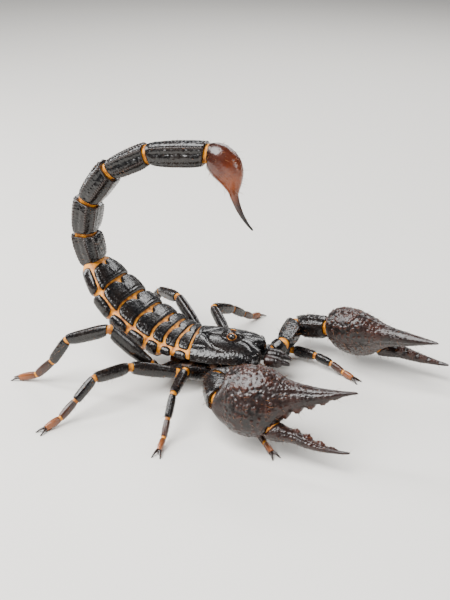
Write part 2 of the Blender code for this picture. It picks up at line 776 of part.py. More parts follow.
def build_legs(stand):
    for hand, word in ((LEFT, "left"), (RIGHT, "right")):
        for number in HIPS:
            links, joints = leg_chain(hand, number)
            profile = leg_profile(number)
            name = f"leg_{word}_{number}"
            meets = [heading(link.azimuth, link.pitch) for link in links]
            root = hip_direction(hand, number)
            thigh = link_body(joints, links, 0, 0, profile, SIDES_LEG, 2.2, root, meets[1])
            shin = link_body(joints, links, 1, 2, profile, SIDES_LEG, 2.2, meets[0], meets[3])
            shape_object(f"{name}_thigh", thigh, joints[0], BLACK_SHELL, stand)
            shape_object(f"{name}_shin", shin, joints[1], BLACK_SHELL, stand)
            foot = foot_body(links, joints, number)
            shape_object(f"{name}_foot", foot, joints[3], AMBER_SHELL, stand)


def main():
    clear_scene()
    stand = bpy.data.objects.new("scorpion", None)
    bpy.context.scene.collection.objects.link(stand)
    build_head(stand)
    build_trunk_and_tail(stand)
    build_arms(stand)
    build_legs(stand)
    stand_on_origin(stand)


main()
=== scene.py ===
"""A large black forest scorpion on guard, life size: the horny plates, skins and bristles over its solids.

Lengths are in millimetres and in the body's frame while a piece is shaped: the origin lies on
the floor below the middle of the head shield, x points forward, y to the animal's left and z
up. finish_piece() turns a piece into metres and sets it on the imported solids. A direction is
given by its azimuth (0 is forward, 90 is left) and its pitch above the horizon.
"""

import json
import math
from collections import namedtuple

import bpy
import numpy as np
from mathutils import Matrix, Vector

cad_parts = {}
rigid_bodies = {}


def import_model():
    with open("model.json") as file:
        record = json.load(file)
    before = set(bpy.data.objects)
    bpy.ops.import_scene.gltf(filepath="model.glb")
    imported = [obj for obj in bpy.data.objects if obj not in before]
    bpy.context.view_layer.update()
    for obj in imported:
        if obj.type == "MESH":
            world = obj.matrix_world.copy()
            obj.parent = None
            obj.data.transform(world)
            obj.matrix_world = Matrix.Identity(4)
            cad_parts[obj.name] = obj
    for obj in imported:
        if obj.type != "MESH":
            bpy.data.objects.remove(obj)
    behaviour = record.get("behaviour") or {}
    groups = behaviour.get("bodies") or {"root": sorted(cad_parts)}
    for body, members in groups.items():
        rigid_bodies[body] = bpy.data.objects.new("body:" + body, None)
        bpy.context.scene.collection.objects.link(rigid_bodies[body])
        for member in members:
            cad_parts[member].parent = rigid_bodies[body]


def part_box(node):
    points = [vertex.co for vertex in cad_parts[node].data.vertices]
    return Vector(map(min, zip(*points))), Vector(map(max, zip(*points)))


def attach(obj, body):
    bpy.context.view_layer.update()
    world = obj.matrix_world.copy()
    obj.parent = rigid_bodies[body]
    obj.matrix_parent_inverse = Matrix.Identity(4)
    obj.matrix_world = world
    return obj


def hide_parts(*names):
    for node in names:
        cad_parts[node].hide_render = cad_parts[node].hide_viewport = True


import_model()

bl_info = {
    "name": "Forest scorpion",
    "version": (1, 0, 0),
    "blender": (4, 5, 0),
    "location": "3D View > Sidebar > Scorpion",
    "description": "Builds the plates, joint skins, claws and bristles of a life-size scorpion",
    "category": "Object",
}

MM = 0.001
LEFT, RIGHT = 1, -1
SIDES = ((LEFT, "left"), (RIGHT, "right"))
SHIELD_LOW, SHIELD_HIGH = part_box("carapace")
STAND = np.array(((SHIELD_LOW.x + SHIELD_HIGH.x) / 2, (SHIELD_LOW.y + SHIELD_HIGH.y) / 2, 0.0))

# ---- sizes and pose of the solids, in millimetres and degrees ----------------------------------
SHIELD_LENGTH, SHIELD_WIDTH = 22.0, 21.6
SHIELD_CROWN, SHIELD_RIM = 15.0, 10.15
MOUND_X, MOUND_LENGTH, MOUND_WIDTH = 0.7, 8.2, 4.0
EYE_RADIUS, EYE_DEPTH, EYE_LIFT = 1.05, 0.82, 0.28
EYE_RING, EYE_RING_THICKNESS, EYE_SURROUND = 1.13, 0.13, 3.4
# Side eyes: place forward, place sideways, radius.
SIDE_EYES = ((9.0, 7.3, 0.36), (9.7, 6.5, 0.38), (10.1, 5.5, 0.3))
TRUNK_WIDTH, TRUNK_HEIGHT = 24.0, 10.6
TAIL_WIDTH = 9.6
FOOT_HEIGHT = 0.95

# Trunk rings, front to back: length, width and height as shares of the trunk's, azimuth, pitch.
TRUNK = (
    (4.0, 0.88, 0.58, 172, 6),
    (4.3, 0.92, 0.62, 170, 11),
    (4.6, 0.96, 0.94, 168, 17),
    (6.8, 1.00, 1.00, 166, 23),
    (7.6, 1.00, 1.00, 165, 31),
    (8.4, 0.94, 0.97, 164, 41),
    (9.6, 0.80, 0.90, 165, 50),
)
PLATE_REACH = 57
TRUNK_START = (-11.15, 0.0, 10.5)
TAIL_AZIMUTH = 174
# Tail rings, front to back: length, width and height as shares of the tail's, pitch.
TAIL = (
    (10.8, 1.02, 0.98, 76),
    (11.6, 0.98, 0.98, 100),
    (13.4, 0.93, 0.92, 127),
    (14.6, 0.84, 0.80, 154),
    (19.6, 0.84, 0.84, 174),
)
# Venom bulb: distance along its bowed axis, width and height as shares of the tail's, pitch.
BULB = (
    (0.0, 0.60, 0.66, 198),
    (1.2, 0.72, 0.86, 204),
    (3.4, 0.84, 1.04, 216),
    (6.4, 0.86, 1.10, 232),
    (9.6, 0.74, 0.92, 246),
    (12.4, 0.54, 0.62, 256),
    (14.6, 0.36, 0.38, 258),
)
STING_LENGTH, STING_ROOT, STING_TIP = 13.5, 1.62, 0.28
STING_PITCHES = (258, 226)
BULB_REACH = BULB[-1][0] + STING_LENGTH
COMB_TEETH = 17

ArmPose = namedtuple("ArmPose", "trochanter femur patella hand roll")
ARM_LENGTHS = (4.4, 17.2, 14.8)
ARMS = {
    RIGHT: ArmPose((-80, 26), (-139, 10), (-72, 3), (-4, 11), 26),
    LEFT: ArmPose((34, 30), (86, -4), (-28, 14), (-26, 9), -42),
}
SHOULDER = (12.6, 7.6, 7.0)
# The hand from wrist to tip of its fixed finger: distance, lower edge, upper edge, half thickness.
HAND = (
    (-1.8, -2.6, 2.8, 2.6),
    (0.8, -4.4, 4.6, 3.4),
    (3.4, -8.2, 8.4, 5.4),
    (6.6, -9.8, 9.9, 6.5),
    (9.6, -10.3, 10.2, 6.6),
    (12.6, -10.0, 9.9, 6.2),
    (15.8, -8.1, 9.0, 5.4),
    (19.0, -5.3, 7.0, 4.3),
    (22.5, -3.3, 5.2, 3.2),
    (26.5, -2.2, 4.0, 2.5),
    (31.0, -1.2, 3.0, 1.9),
    (35.5, 0.1, 2.3, 1.2),
    (39.0, 0.9, 1.9, 0.6),
    (40.6, 1.1, 1.7, 0.3),
)
# The movable finger: place along the hand, height, half depth, half thickness, and its tilt.
FINGER = (
    (16.4, -8.75, 3.3, 3.2, -50),
    (18.6, -9.6, 2.6, 2.8, -38),
    (21.8, -10.3, 1.95, 2.2, -28),
    (25.7, -12.0, 1.60, 1.8, -24),
    (30.1, -13.6, 1.10, 1.3, -18),
    (34.2, -14.6, 0.62, 0.8, -10),
    (37.6, -15.0, 0.30, 0.35, -2),
)

# Spacing of the large lobes and of the small teeth on the fingers' edges.
LOBE_PITCH, TOOTH_PITCH = 3.8, 0.95

LegPose = namedtuple("LegPose", "thigh rest pitches")
LEG_LENGTHS = (15.0, 10.5, 7.0, 5.4, 4.6)
LEG_SCALE = {1: 0.92, 2: 1.07, 3: 1.26, 4: 1.44}
LEG_DEPTH, LEG_BREADTH = 3.5, 2.7
HIPS = {1: (6.4, 10.4, 5.8), 2: (-1.6, 11.3, 6.2), 3: (-10.8, 12.0, 6.2), 4: (-20.4, 12.2, 6.0)}
HIP_ROOTS = {1: 4.6, 2: 0.6, 3: -4.0, 4: -8.4}
HIP_ROOT_Y, HIP_ROOT_Z = 3.4, 6.35
LEGS = {
    (RIGHT, 1): LegPose(-95, -47, (4, -8, -26, -14)),
    (RIGHT, 2): LegPose(-120, -93, (-8, -46, -46, -18)),
    (RIGHT, 3): LegPose(-157, -126, (4, -36, -34, -14)),
    (RIGHT, 4): LegPose(-162, -179, (-20, -56, -44, -16)),
    (LEFT, 1): LegPose(34, -28, (6, -6, -17, -12)),
    (LEFT, 2): LegPose(130, 64, (-22, -34, -30, -14)),
    (LEFT, 3): LegPose(142, 134, (-12, -44, -46, -18)),
    (LEFT, 4): LegPose(158, 122, (2, -36, -34, -12)),
}
FOOT_CLAW_LENGTH, FOOT_CLAW_SPREAD, FOOT_CLAW_THICKNESS = 3.4, 24, 0.46

# ---- stage, with the camera's place and view in the body's frame, and lights in metres and watts
CAMERA_PLACE, CAMERA_VIEW, CAMERA_LENS = (64.02, -284.44, 163.69), (-0.2039, 0.8831, -0.4226), 61.2
# Lights: name, place, target, size, power.
LIGHTS = (
    ("key", (-0.24, -0.28, 0.62), (0.0, 0.0, 0.02), (0.56, 0.56), 16.5),
    ("strip", (-0.5, 0.08, 0.3), (0.0, 0.0, 0.03), (0.08, 0.5), 3.5),
    ("back", (0.12, 0.55, 0.4), (0.0, 0.0, 0.03), (0.7, 0.12), 3.0),
    ("fill", (0.6, -0.3, 0.25), (0.0, 0.0, 0.03), (0.2, 0.3), 1.6),
)
SKY, SKY_STRENGTH = (0.9, 0.93, 1.0, 1.0), 0.16
FLOOR_SIZE = 8

AHEAD, ACROSS, UP = np.eye(3)
# Sockets of a Mix node that mixes colours.
MIX_A, MIX_B, MIX_RESULT = 6, 7, 2
# Cells along each side of the bristles' map, one for each growth.
MAP_CELLS = 8


# ---- directions and smooth curves --------------------------------------------------------------
def heading(azimuth, pitch):
    """The unit vector of that azimuth and pitch."""
    a, p = math.radians(azimuth), math.radians(pitch)
    return np.array((math.cos(p) * math.cos(a), math.cos(p) * math.sin(a), math.sin(p)))


def leftward(azimuth):
    """The level unit vector to the left of an azimuth."""
    a = math.radians(azimuth)
    return np.array((-math.sin(a), math.cos(a), 0.0))


def unit(vector):
    return vector / np.linalg.norm(vector)


def halfway(before, after):
    """The normal of the plane that halves the bend between two directions."""
    return unit(before + after)


def walk(start, lengths, directions):
    """The joint centres of a chain of links."""
    joints = [np.array(start, float)]
    for length, direction in zip(lengths, directions):
        joints.append(joints[-1] + direction * length)
    return joints


def flow(x, xs, ys):
    """Rows at x of the smooth curve through rows ys at xs, which never overshoots them."""
    xs, ys = np.asarray(xs, float), np.asarray(ys, float)
    step = np.diff(xs)[:, None]
    slope = np.diff(ys, axis=0) / step
    product, total = slope[:-1] * slope[1:], slope[:-1] + slope[1:]
    level = np.divide(2 * product, total, out=np.zeros_like(total), where=product > 0)
    tangent = np.vstack([slope[:1], level, slope[-1:]])
    i = np.clip(np.searchsorted(xs, x, side="right") - 1, 0, len(xs) - 2)
    u = ((x - xs[i]) / step[i, 0])[:, None]
    back, on = 1 - u, step[i]
    start = (1 + 2 * u) * back**2 * ys[i] + u * back**2 * on * tangent[i]
    return start + u**2 * (3 - 2 * u) * ys[i + 1] - u**2 * back * on * tangent[i + 1]


def fade(x, low, high):
    """0 below low, 1 above high, and a smooth rise between them."""
    u = np.clip((x - low) / (high - low), 0, 1)
    return u * u * (3 - 2 * u)


def bump(x, width):
    """A smooth hump, 1 at x = 0, about `width` to each side."""
    return np.exp(-((x / width) ** 2))


def turn(angle, about):
    """The difference of an angle from another, in degrees from -180 to 180."""
    return (np.degrees(angle) - about + 180) % 360 - 180


def grains(places, pitch, seed):
    """Heights 0 to 1 of rounded grains strewn about `pitch` mm apart."""
    home = np.floor(places / pitch)
    height = np.zeros(len(places))
    for step in np.ndindex(3, 3, 3):
        cell = home + np.array(step) - 1
        draw = np.sin(cell @ np.array((127.1, 311.7, 74.7)) + seed) * 43758.5453
        seat = np.stack([(draw * share) % 1.0 for share in (1.0, 1.37, 1.71)], axis=1)
        away = np.linalg.norm(places - (cell + seat) * pitch, axis=1)
        radius = pitch * (0.34 + 0.26 * ((draw * 2.3) % 1.0))
        height = np.maximum(height, np.clip(1 - (away / radius) ** 2, 0, 1) ** 0.8)
    return height


def near_path(places, path):
    """Distances in the plan from places to the smooth curve through the path's points."""
    path = np.array(path, float)
    curve = flow(np.linspace(0, 1, 50), np.linspace(0, 1, len(path)), path)
    gaps = places[:, None, :2] - curve[None]
    return np.sqrt((gaps**2).sum(-1).min(1))


# ---- meshes ------------------------------------------------------------------------------------
def points(obj):
    co = np.zeros(len(obj.data.vertices) * 3)
    obj.data.vertices.foreach_get("co", co)
    return co.reshape(-1, 3)


def set_points(obj, places):
    obj.data.vertices.foreach_set("co", np.ascontiguousarray(places, dtype=np.float32).ravel())
    obj.data.update()


def set_crest(obj, values):
    """How far each point stands out as a keel or a grain, 0 to 1, which the finish reads."""
    crest = obj.data.attributes.get("crest") or obj.data.attributes.new("crest", "FLOAT", "POINT")
    crest.data.foreach_set("value", np.clip(values, 0, 1).astype(np.float32))


def pick(obj):
    """Selects one object alone and makes it the active one."""
    bpy.ops.object.select_all(action="DESELECT")
    obj.select_set(True)
    bpy.context.view_layer.objects.active = obj


def new_ball(name, sides, rings):
    bpy.ops.object.select_all(action="DESELECT")
    bpy.ops.mesh.primitive_uv_sphere_add(segments=sides, ring_count=rings, radius=1)
    obj = bpy.context.active_object
    obj.name = name
    return obj


def new_grid(name, along, around):
    bpy.ops.object.select_all(action="DESELECT")
    bpy.ops.mesh.primitive_grid_add(x_subdivisions=along, y_subdivisions=around, size=2)
    obj = bpy.context.active_object
    obj.name = name
    return obj


def row(centre, along, side, half_width, up, down, plane=None, mark=0.0):
    """A station of a drawn-out body: centre, the two axes of its section, sizes and mark."""
    rise = unit(np.cross(along, side))
    plane = along if plane is None else plane
    lean = along / along.dot(plane)
    axes = (side - lean * side.dot(plane), rise - lean * rise.dot(plane))
    return (*centre, *axes[0], *axes[1], half_width, up, down, mark)


def section(at, angle, squareness):
    """Offsets from the stations `at` to the points of their oval outlines."""
    power = 2.0 / squareness
    cosine, sine = np.cos(angle), np.sin(angle)
    across = np.sign(cosine) * np.abs(cosine) ** power * at[:, 9]
    tall = np.where(sine > 0, at[:, 10], at[:, 11])
    height = np.sign(sine) * np.abs(sine) ** power * tall
    return at[:, 3:6] * across[:, None] + at[:, 6:9] * height[:, None]


def moved_row(station, shift, size, mark=None):
    """A copy of a station, shifted and with its sizes scaled, under another mark where one is given."""
    centre, rest = np.array(station[:3]) + shift, list(station[3:])
    rest[6:9] = [value * size for value in rest[6:9]]
    if mark is not None:
        rest[9] = mark
    return [*centre, *rest]


def drawn_out(name, rows, sides, rings, squareness=2.2, relief=None, tone=None):
    """A ball drawn out over the stations of rows, from the first to the last.

    relief(mark, angle, places) gives the height in mm that each point stands out of the plain
    form, and tone(mark) its shade for the finish where the relief shouldn't give it.
    """
    obj = new_ball(name, sides, rings)
    ball, rows = points(obj), np.array(rows)
    size = rows[:, 9:12].mean(1)
    steps = np.hypot(np.linalg.norm(np.diff(rows[:, :3], axis=0), axis=1), np.diff(size))
    reach = np.concatenate([[0], np.cumsum(np.maximum(steps, 1e-4))])
    share = np.arccos(np.clip(-ball[:, 2], -1, 1)) / math.pi
    angle = np.arctan2(ball[:, 1], ball[:, 0])
    at = flow(share * reach[-1], reach, rows)
    offset = section(at, angle, squareness)
    height = np.zeros(len(ball))
    if relief:
        length = np.linalg.norm(offset, axis=1)
        height = relief(at[:, 12], angle, at[:, :3] + offset)
        height = height * np.clip(length / (0.3 * size.max()), 0, 1)
        offset *= (1 + height / np.maximum(length, 0.05))[:, None]
    set_points(obj, at[:, :3] + offset)
    set_crest(obj, tone(at[:, 12]) if tone else height / 0.3)
    return obj


# Reach into a link and share of its size, from the middle of its end to past its rounded rim.
END = ((0.55, 0.0), (0.4, 0.5), (0.1, 0.86), (0.0, 0.95), (0.4, 1.0))


def link_rows(start, end, side, profile, before, after, seams=(0.8, 0.8), span=(0.0, 1.0)):
    """Stations of one horny link between two joints, with rounded rims at its ends.

    Each rim lies half of its seam from the plane that halves its joint's bend. profile holds
    (share of the length, half width, half height), and span the share of the link made here.
    """
    along, length = unit(end - start), np.linalg.norm(end - start)
    first = halfway(before, along) if span[0] == 0 else along
    last = halfway(along, after) if span[1] == 1 else along
    low = span[0] * length + seams[0] / 2 / along.dot(first)
    high = span[1] * length - seams[1] / 2 / along.dot(last)
    stations = [(low + reach, size) for reach, size in END]
    inner = np.linspace(low, high, 9)[1:-1]
    stations += [(reach, 1.0) for reach in inner if low + 0.6 < reach < high - 0.6]
    stations += [(high - reach, size) for reach, size in reversed(END)]
    shares, sizes = [p[0] for p in profile], [p[1:] for p in profile]
    rows = []
    for reach, size in stations:
        share = reach / length
        width, height = flow(np.array([np.clip(share, 0, 1)]), shares, sizes)[0] * size
        near, far = max(1 - share / 0.35, 0), max((share - 0.65) / 0.35, 0)
        plane = unit(first * near + last * far + along * max(1 - near - far, 0))
        centre = start + along * reach
        rows.append(row(centre, along, side, width, height, height, plane, share))
    return rows


# Shares of a skin's reach from its joint, and of its size there.
SKIN = ((-1, 0), (-0.95, 0.5), (-0.75, 0.84), (-0.3, 0.97), (0, 1))
SKIN += ((0.3, 0.97), (0.75, 0.84), (0.95, 0.5), (1, 0))


def skin_rows(joint, before, after, side, width, height, reach):
    """Stations of the soft skin that bridges a joint, from inside one link to inside the next."""
    rows = []
    for share, size in SKIN:
        along = unit(before * (1 - share) / 2 + after * (1 + share) / 2)
        centre = joint + (after if share > 0 else before) * share * reach
        rows.append(row(centre, along, side, width * size, height * size, height * size, None, share))
    return rows


def pleats(pitch, depth):
    """The relief of a skin gathered in fine folds round its joint."""

    def relief(mark, angle, places):
        wander = 0.25 * np.sin(3 * angle + places[:, 2])
        return depth * np.cos(2 * math.pi * (mark / pitch + wander))

    return relief


def twin(model):
    """A copy of a piece with a mesh of its own."""
    pick(model)
    bpy.ops.object.duplicate(linked=False)
    return bpy.context.active_object


def joined(objects, name):
    """Several meshes made one piece."""
    pick(objects[0])
    for obj in objects:
        obj.select_set(True)
    if len(objects) > 1:
        bpy.ops.object.join()
    objects[0].name = name
    return objects[0]


def with_thickness(obj, thickness):
    """Gives a curved sheet its thickness inwards."""
    pick(obj)
    wall = obj.modifiers.new("thickness", "SOLIDIFY")
    wall.thickness = thickness
    wall.offset = -1
    bpy.ops.object.modifier_apply(modifier=wall.name)
    return obj


def recalculate(obj):
    """Turns every face of a closed piece outwards."""
    pick(obj)
    bpy.ops.object.mode_set(mode="EDIT")
    bpy.ops.mesh.select_all(action="SELECT")
    bpy.ops.mesh.normals_make_consistent(inside=False)
    bpy.ops.object.mode_set(mode="OBJECT")


def finish_piece(obj, finish, slot, *nodes):
    """Turns a shaped piece into metres on the stand, gives it its finish and its place."""
    set_points(obj, points(obj) * MM + STAND)
    for polygon in obj.data.polygons:
        polygon.use_smooth = True
    obj.data.materials.clear()
    obj.data.materials.append(bpy.data.materials[finish])
    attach(obj, "root")
    if nodes:
        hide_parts(*nodes)
    return obj


# ---- finishes ----------------------------------------------------------------------------------
def linear(code):
    """The linear colour of an sRGB hex code."""
    parts = [int(code[i : i + 2], 16) / 255 for i in (1, 3, 5)]
    return tuple(c / 12.92 if c <= 0.04045 else ((c + 0.055) / 1.055) ** 2.4 for c in parts) + (1.0,)


def add_node(tree, kind, inputs=None, **settings):
    """Adds a node with its settings; an input is given a value, or a socket to link from."""
    node = tree.nodes.new(kind)
    for name, value in settings.items():
        setattr(node, name, value)
    for name, value in (inputs or {}).items():
        if isinstance(value, bpy.types.NodeSocket):
            tree.links.new(value, node.inputs[name])
        else:
            node.inputs[name].default_value = value
    return node


def set_ramp(ramp, *stops):
    """Sets a colour ramp's stops, each a place from 0 to 1 and a colour."""
    elements = ramp.color_ramp.elements
    elements[0].position, elements[0].color = stops[0]
    elements[1].position, elements[1].color = stops[-1]
    for place, colour in stops[1:-1]:
        elements.new(place).color = colour


def blank_material(name):
    material = bpy.data.materials.new(name)
    material.use_nodes = True
    tree = material.node_tree
    tree.nodes.clear()
    return tree


def horn(name, deep, pale, worn, gloss, grain, depth, coat=0.05):
    """Sclerotised cuticle: hard, dense and polished, darker and lighter by patches.

    It gives the eye a deep colour under a hard shine that breaks up over fine grains. gloss is
    the least and most roughness, grain the spacing of the finest grains in mm, depth their
    height in mm.
    """
    tree = blank_material(name)
    place = add_node(tree, "ShaderNodeTexCoord").outputs["Object"]
    patches = add_node(tree, "ShaderNodeTexNoise", {"Vector": place, "Scale": 1 / (7 * MM), "Detail": 3})
    fine = add_node(tree, "ShaderNodeTexNoise", {"Vector": place, "Scale": 1 / (0.9 * MM), "Detail": 2})
    spread = {"Value": patches.outputs["Fac"], "From Min": 0.38, "From Max": 0.68}
    share = add_node(tree, "ShaderNodeMapRange", spread)
    colours = {"Factor": share.outputs["Result"], MIX_A: deep, MIX_B: pale}
    ground = add_node(tree, "ShaderNodeMix", colours, data_type="RGBA")
    crest = add_node(tree, "ShaderNodeAttribute", attribute_name="crest")
    shares = {0: crest.outputs["Fac"], 1: fine.outputs["Fac"]}
    wear = add_node(tree, "ShaderNodeMath", shares, operation="MULTIPLY")
    colours = {"Factor": wear.outputs[0], MIX_A: ground.outputs[MIX_RESULT], MIX_B: worn}
    colour = add_node(tree, "ShaderNodeMix", colours, data_type="RGBA")
    spread = {"Value": fine.outputs["Fac"], "From Min": 0.3, "From Max": 0.7}
    rough = add_node(tree, "ShaderNodeMapRange", {**spread, "To Min": gloss[0], "To Max": gloss[1]})
    cells = add_node(tree, "ShaderNodeTexVoronoi", {"Vector": place, "Scale": 1 / (grain * MM)})
    terms = {0: cells.outputs["Distance"], 1: -1.0, 2: 1.0}
    swell = add_node(tree, "ShaderNodeMath", terms, operation="MULTIPLY_ADD")
    terms = {0: fine.outputs["Fac"], 1: 1.6, 2: swell.outputs[0]}
    height = add_node(tree, "ShaderNodeMath", terms, operation="MULTIPLY_ADD")
    relief = add_node(tree, "ShaderNodeBump", {"Height": height.outputs[0], "Distance": depth * MM})
    shader = add_node(
        tree,
        "ShaderNodeBsdfPrincipled",
        {
            "Base Color": colour.outputs[MIX_RESULT],
            "Roughness": rough.outputs["Result"],
            "Normal": relief.outputs["Normal"],
            "IOR": 1.48,
            "Coat Weight": coat,
            "Coat Roughness": 0.1,
        },
    )
    add_node(tree, "ShaderNodeOutputMaterial", {"Surface": shader.outputs["BSDF"]})


def joint_skin(name, deep, pale):
    """Soft joint membrane: unhardened cuticle, leathery and lightly translucent.

    It gives the eye a warm, dull glow between the hard plates, streaked along its folds.
    """
    tree = blank_material(name)
    place = add_node(tree, "ShaderNodeTexCoord").outputs["Object"]
    patches = add_node(tree, "ShaderNodeTexNoise", {"Vector": place, "Scale": 1 / (1.6 * MM), "Detail": 4})
    folds = add_node(tree, "ShaderNodeTexNoise", {"Vector": place, "Scale": 1 / (0.35 * MM), "Detail": 2})
    ramp = add_node(tree, "ShaderNodeValToRGB", {"Fac": patches.outputs["Fac"]})
    set_ramp(ramp, (0.36, deep), (0.62, pale))
    relief = add_node(tree, "ShaderNodeBump", {"Height": folds.outputs["Fac"], "Distance": 0.06 * MM})
    shader = add_node(
        tree,
        "ShaderNodeBsdfPrincipled",
        {
            "Base Color": ramp.outputs["Color"],
            "Normal": relief.outputs["Normal"],
            "Roughness": 0.46,
            "IOR": 1.48,
            "Subsurface Weight": 0.1,
            "Subsurface Radius": (1.0, 0.5, 0.2),
            "Subsurface Scale": 0.6 * MM,
        },
    )
    add_node(tree, "ShaderNodeOutputMaterial", {"Surface": shader.outputs["BSDF"]})


def toned_horn(name, colours, gloss):
    """Thin, resinous cuticle of the bulb, the feet and the comb: amber where it is thin.

    It gives the eye a clear brown that runs from one end of the piece to the other.
    """
    tree = blank_material(name)
    place = add_node(tree, "ShaderNodeTexCoord").outputs["Object"]
    patches = add_node(tree, "ShaderNodeTexNoise", {"Vector": place, "Scale": 1 / (2.5 * MM), "Detail": 3})
    crest = add_node(tree, "ShaderNodeAttribute", attribute_name="crest")
    terms = {0: patches.outputs["Fac"], 1: 0.24, 2: crest.outputs["Fac"]}
    share = add_node(tree, "ShaderNodeMath", terms, operation="MULTIPLY_ADD")
    ramp = add_node(tree, "ShaderNodeValToRGB", {"Fac": share.outputs[0]})
    last = len(colours) - 1
    set_ramp(ramp, *((0.12 + 0.88 * i / last, colour) for i, colour in enumerate(colours)))
    cells = add_node(tree, "ShaderNodeTexVoronoi", {"Vector": place, "Scale": 1 / (0.5 * MM)})
    relief = add_node(tree, "ShaderNodeBump", {"Height": cells.outputs["Distance"], "Distance": 0.03 * MM})
    shader = add_node(
        tree,
        "ShaderNodeBsdfPrincipled",
        {
            "Base Color": ramp.outputs["Color"],
            "Normal": relief.outputs["Normal"],
            "Roughness": gloss,
            "IOR": 1.54,
            "Coat Weight": 0.1,
            "Coat Roughness": 0.12,
            "Subsurface Weight": 0.06,
            "Subsurface Radius": (1.0, 0.4, 0.12),
            "Subsurface Scale": 0.8 * MM,
        },
    )
    add_node(tree, "ShaderNodeOutputMaterial", {"Surface": shader.outputs["BSDF"]})


def eye_glaze(name, deep, glow):
    """The lens of a simple eye: clear cuticle over a dark cup, as smooth as glass.

    It gives the eye a wet black bead with a faint brown depth.
    """
    tree = blank_material(name)
    place = add_node(tree, "ShaderNodeTexCoord").outputs["Object"]
    cup = add_node(tree, "ShaderNodeTexNoise", {"Vector": place, "Scale": 1 / (0.9 * MM), "Detail": 1})
    ramp = add_node(tree, "ShaderNodeValToRGB", {"Fac": cup.outputs["Fac"]})
    set_ramp(ramp, (0.4, deep), (0.75, glow))
    shader = add_node(
        tree,
        "ShaderNodeBsdfPrincipled",
        {
            "Base Color": ramp.outputs["Color"],
            "Roughness": 0.04,
            "IOR": 1.5,
            "Coat Weight": 1.0,
            "Coat Roughness": 0.02,
        },
    )
    add_node(tree, "ShaderNodeOutputMaterial", {"Surface": shader.outputs["BSDF"]})


def bristle_finish(name, root, tip):
    """Stiff hollow bristles: brown horn, silky along their length."""
    tree = blank_material(name)
    place = add_node(tree, "ShaderNodeTexCoord").outputs["Object"]
    patches = add_node(tree, "ShaderNodeTexNoise", {"Vector": place, "Scale": 1 / (1.2 * MM)})
    ramp = add_node(tree, "ShaderNodeValToRGB", {"Fac": patches.outputs["Fac"]})
    set_ramp(ramp, (0.35, root), (0.65, tip))
    inputs = {"Base Color": ramp.outputs["Color"], "Roughness": 0.42, "IOR": 1.55}
    shader = add_node(tree, "ShaderNodeBsdfPrincipled", inputs)
    add_node(tree, "ShaderNodeOutputMaterial", {"Surface": shader.outputs["BSDF"]})


# ---- head --------------------------------------------------------------------------------------
def shield_rows():
    """Stations of the head shield from its rear edge to its front lobes."""
    half = SHIELD_LENGTH / 2
    ends = ((-0.985, 0.0), (-0.996, 0.55), (-1.0, 0.86), (-0.99, 0.965), (-0.965, 1.0))
    ends += tuple((share, 1.0) for share in (-0.85, -0.7, -0.4, -0.1, 0.2, 0.5, 0.75, 0.88, 0.955))
    ends += ((0.985, 0.95), (1.0, 0.85), (0.995, 0.5), (0.98, 0.0))
    rows = []
    for share, size in ends:
        x = half * share
        taper = 1.0 - 0.129 * max(share + 0.45, 0.0) ** 1.6 - 0.05 * max(-share - 0.45, 0.0)
        corner = 1.0 - 0.34 * max((share - 0.8) / 0.2, 0.0) ** 2
        front = max((share - 0.35) / 0.65, 0.0)
        crown = (SHIELD_CROWN - SHIELD_RIM) * (1.0 - 0.5 * front**1.6)
        half_width = SHIELD_WIDTH / 2 * taper * corner
        centre = np.array((x, 0.0, SHIELD_RIM))
        size_up = size if size > 0.9 else size * 0.94
        sizes = (half_width * size, crown * size_up, 0.5 * size)
        rows.append(row(centre, AHEAD, ACROSS, *sizes, None, share))
    return rows


def eye_seat(hand):
    """Where a middle eye sits on the mound, and the way that it looks."""
    look = heading(hand * 78, 28)
    return np.array((MOUND_X + 0.3, hand * (MOUND_WIDTH / 2 - 0.08), 15.75)), look


def round_eye(places, hand):
    """Distances of places from a middle eye's seat, and from the line along which it looks."""
    seat, look = eye_seat(hand)
    away = places - seat
    across = np.linalg.norm(away - (away @ look)[:, None] * look, axis=1)
    return np.linalg.norm(away, axis=1), across


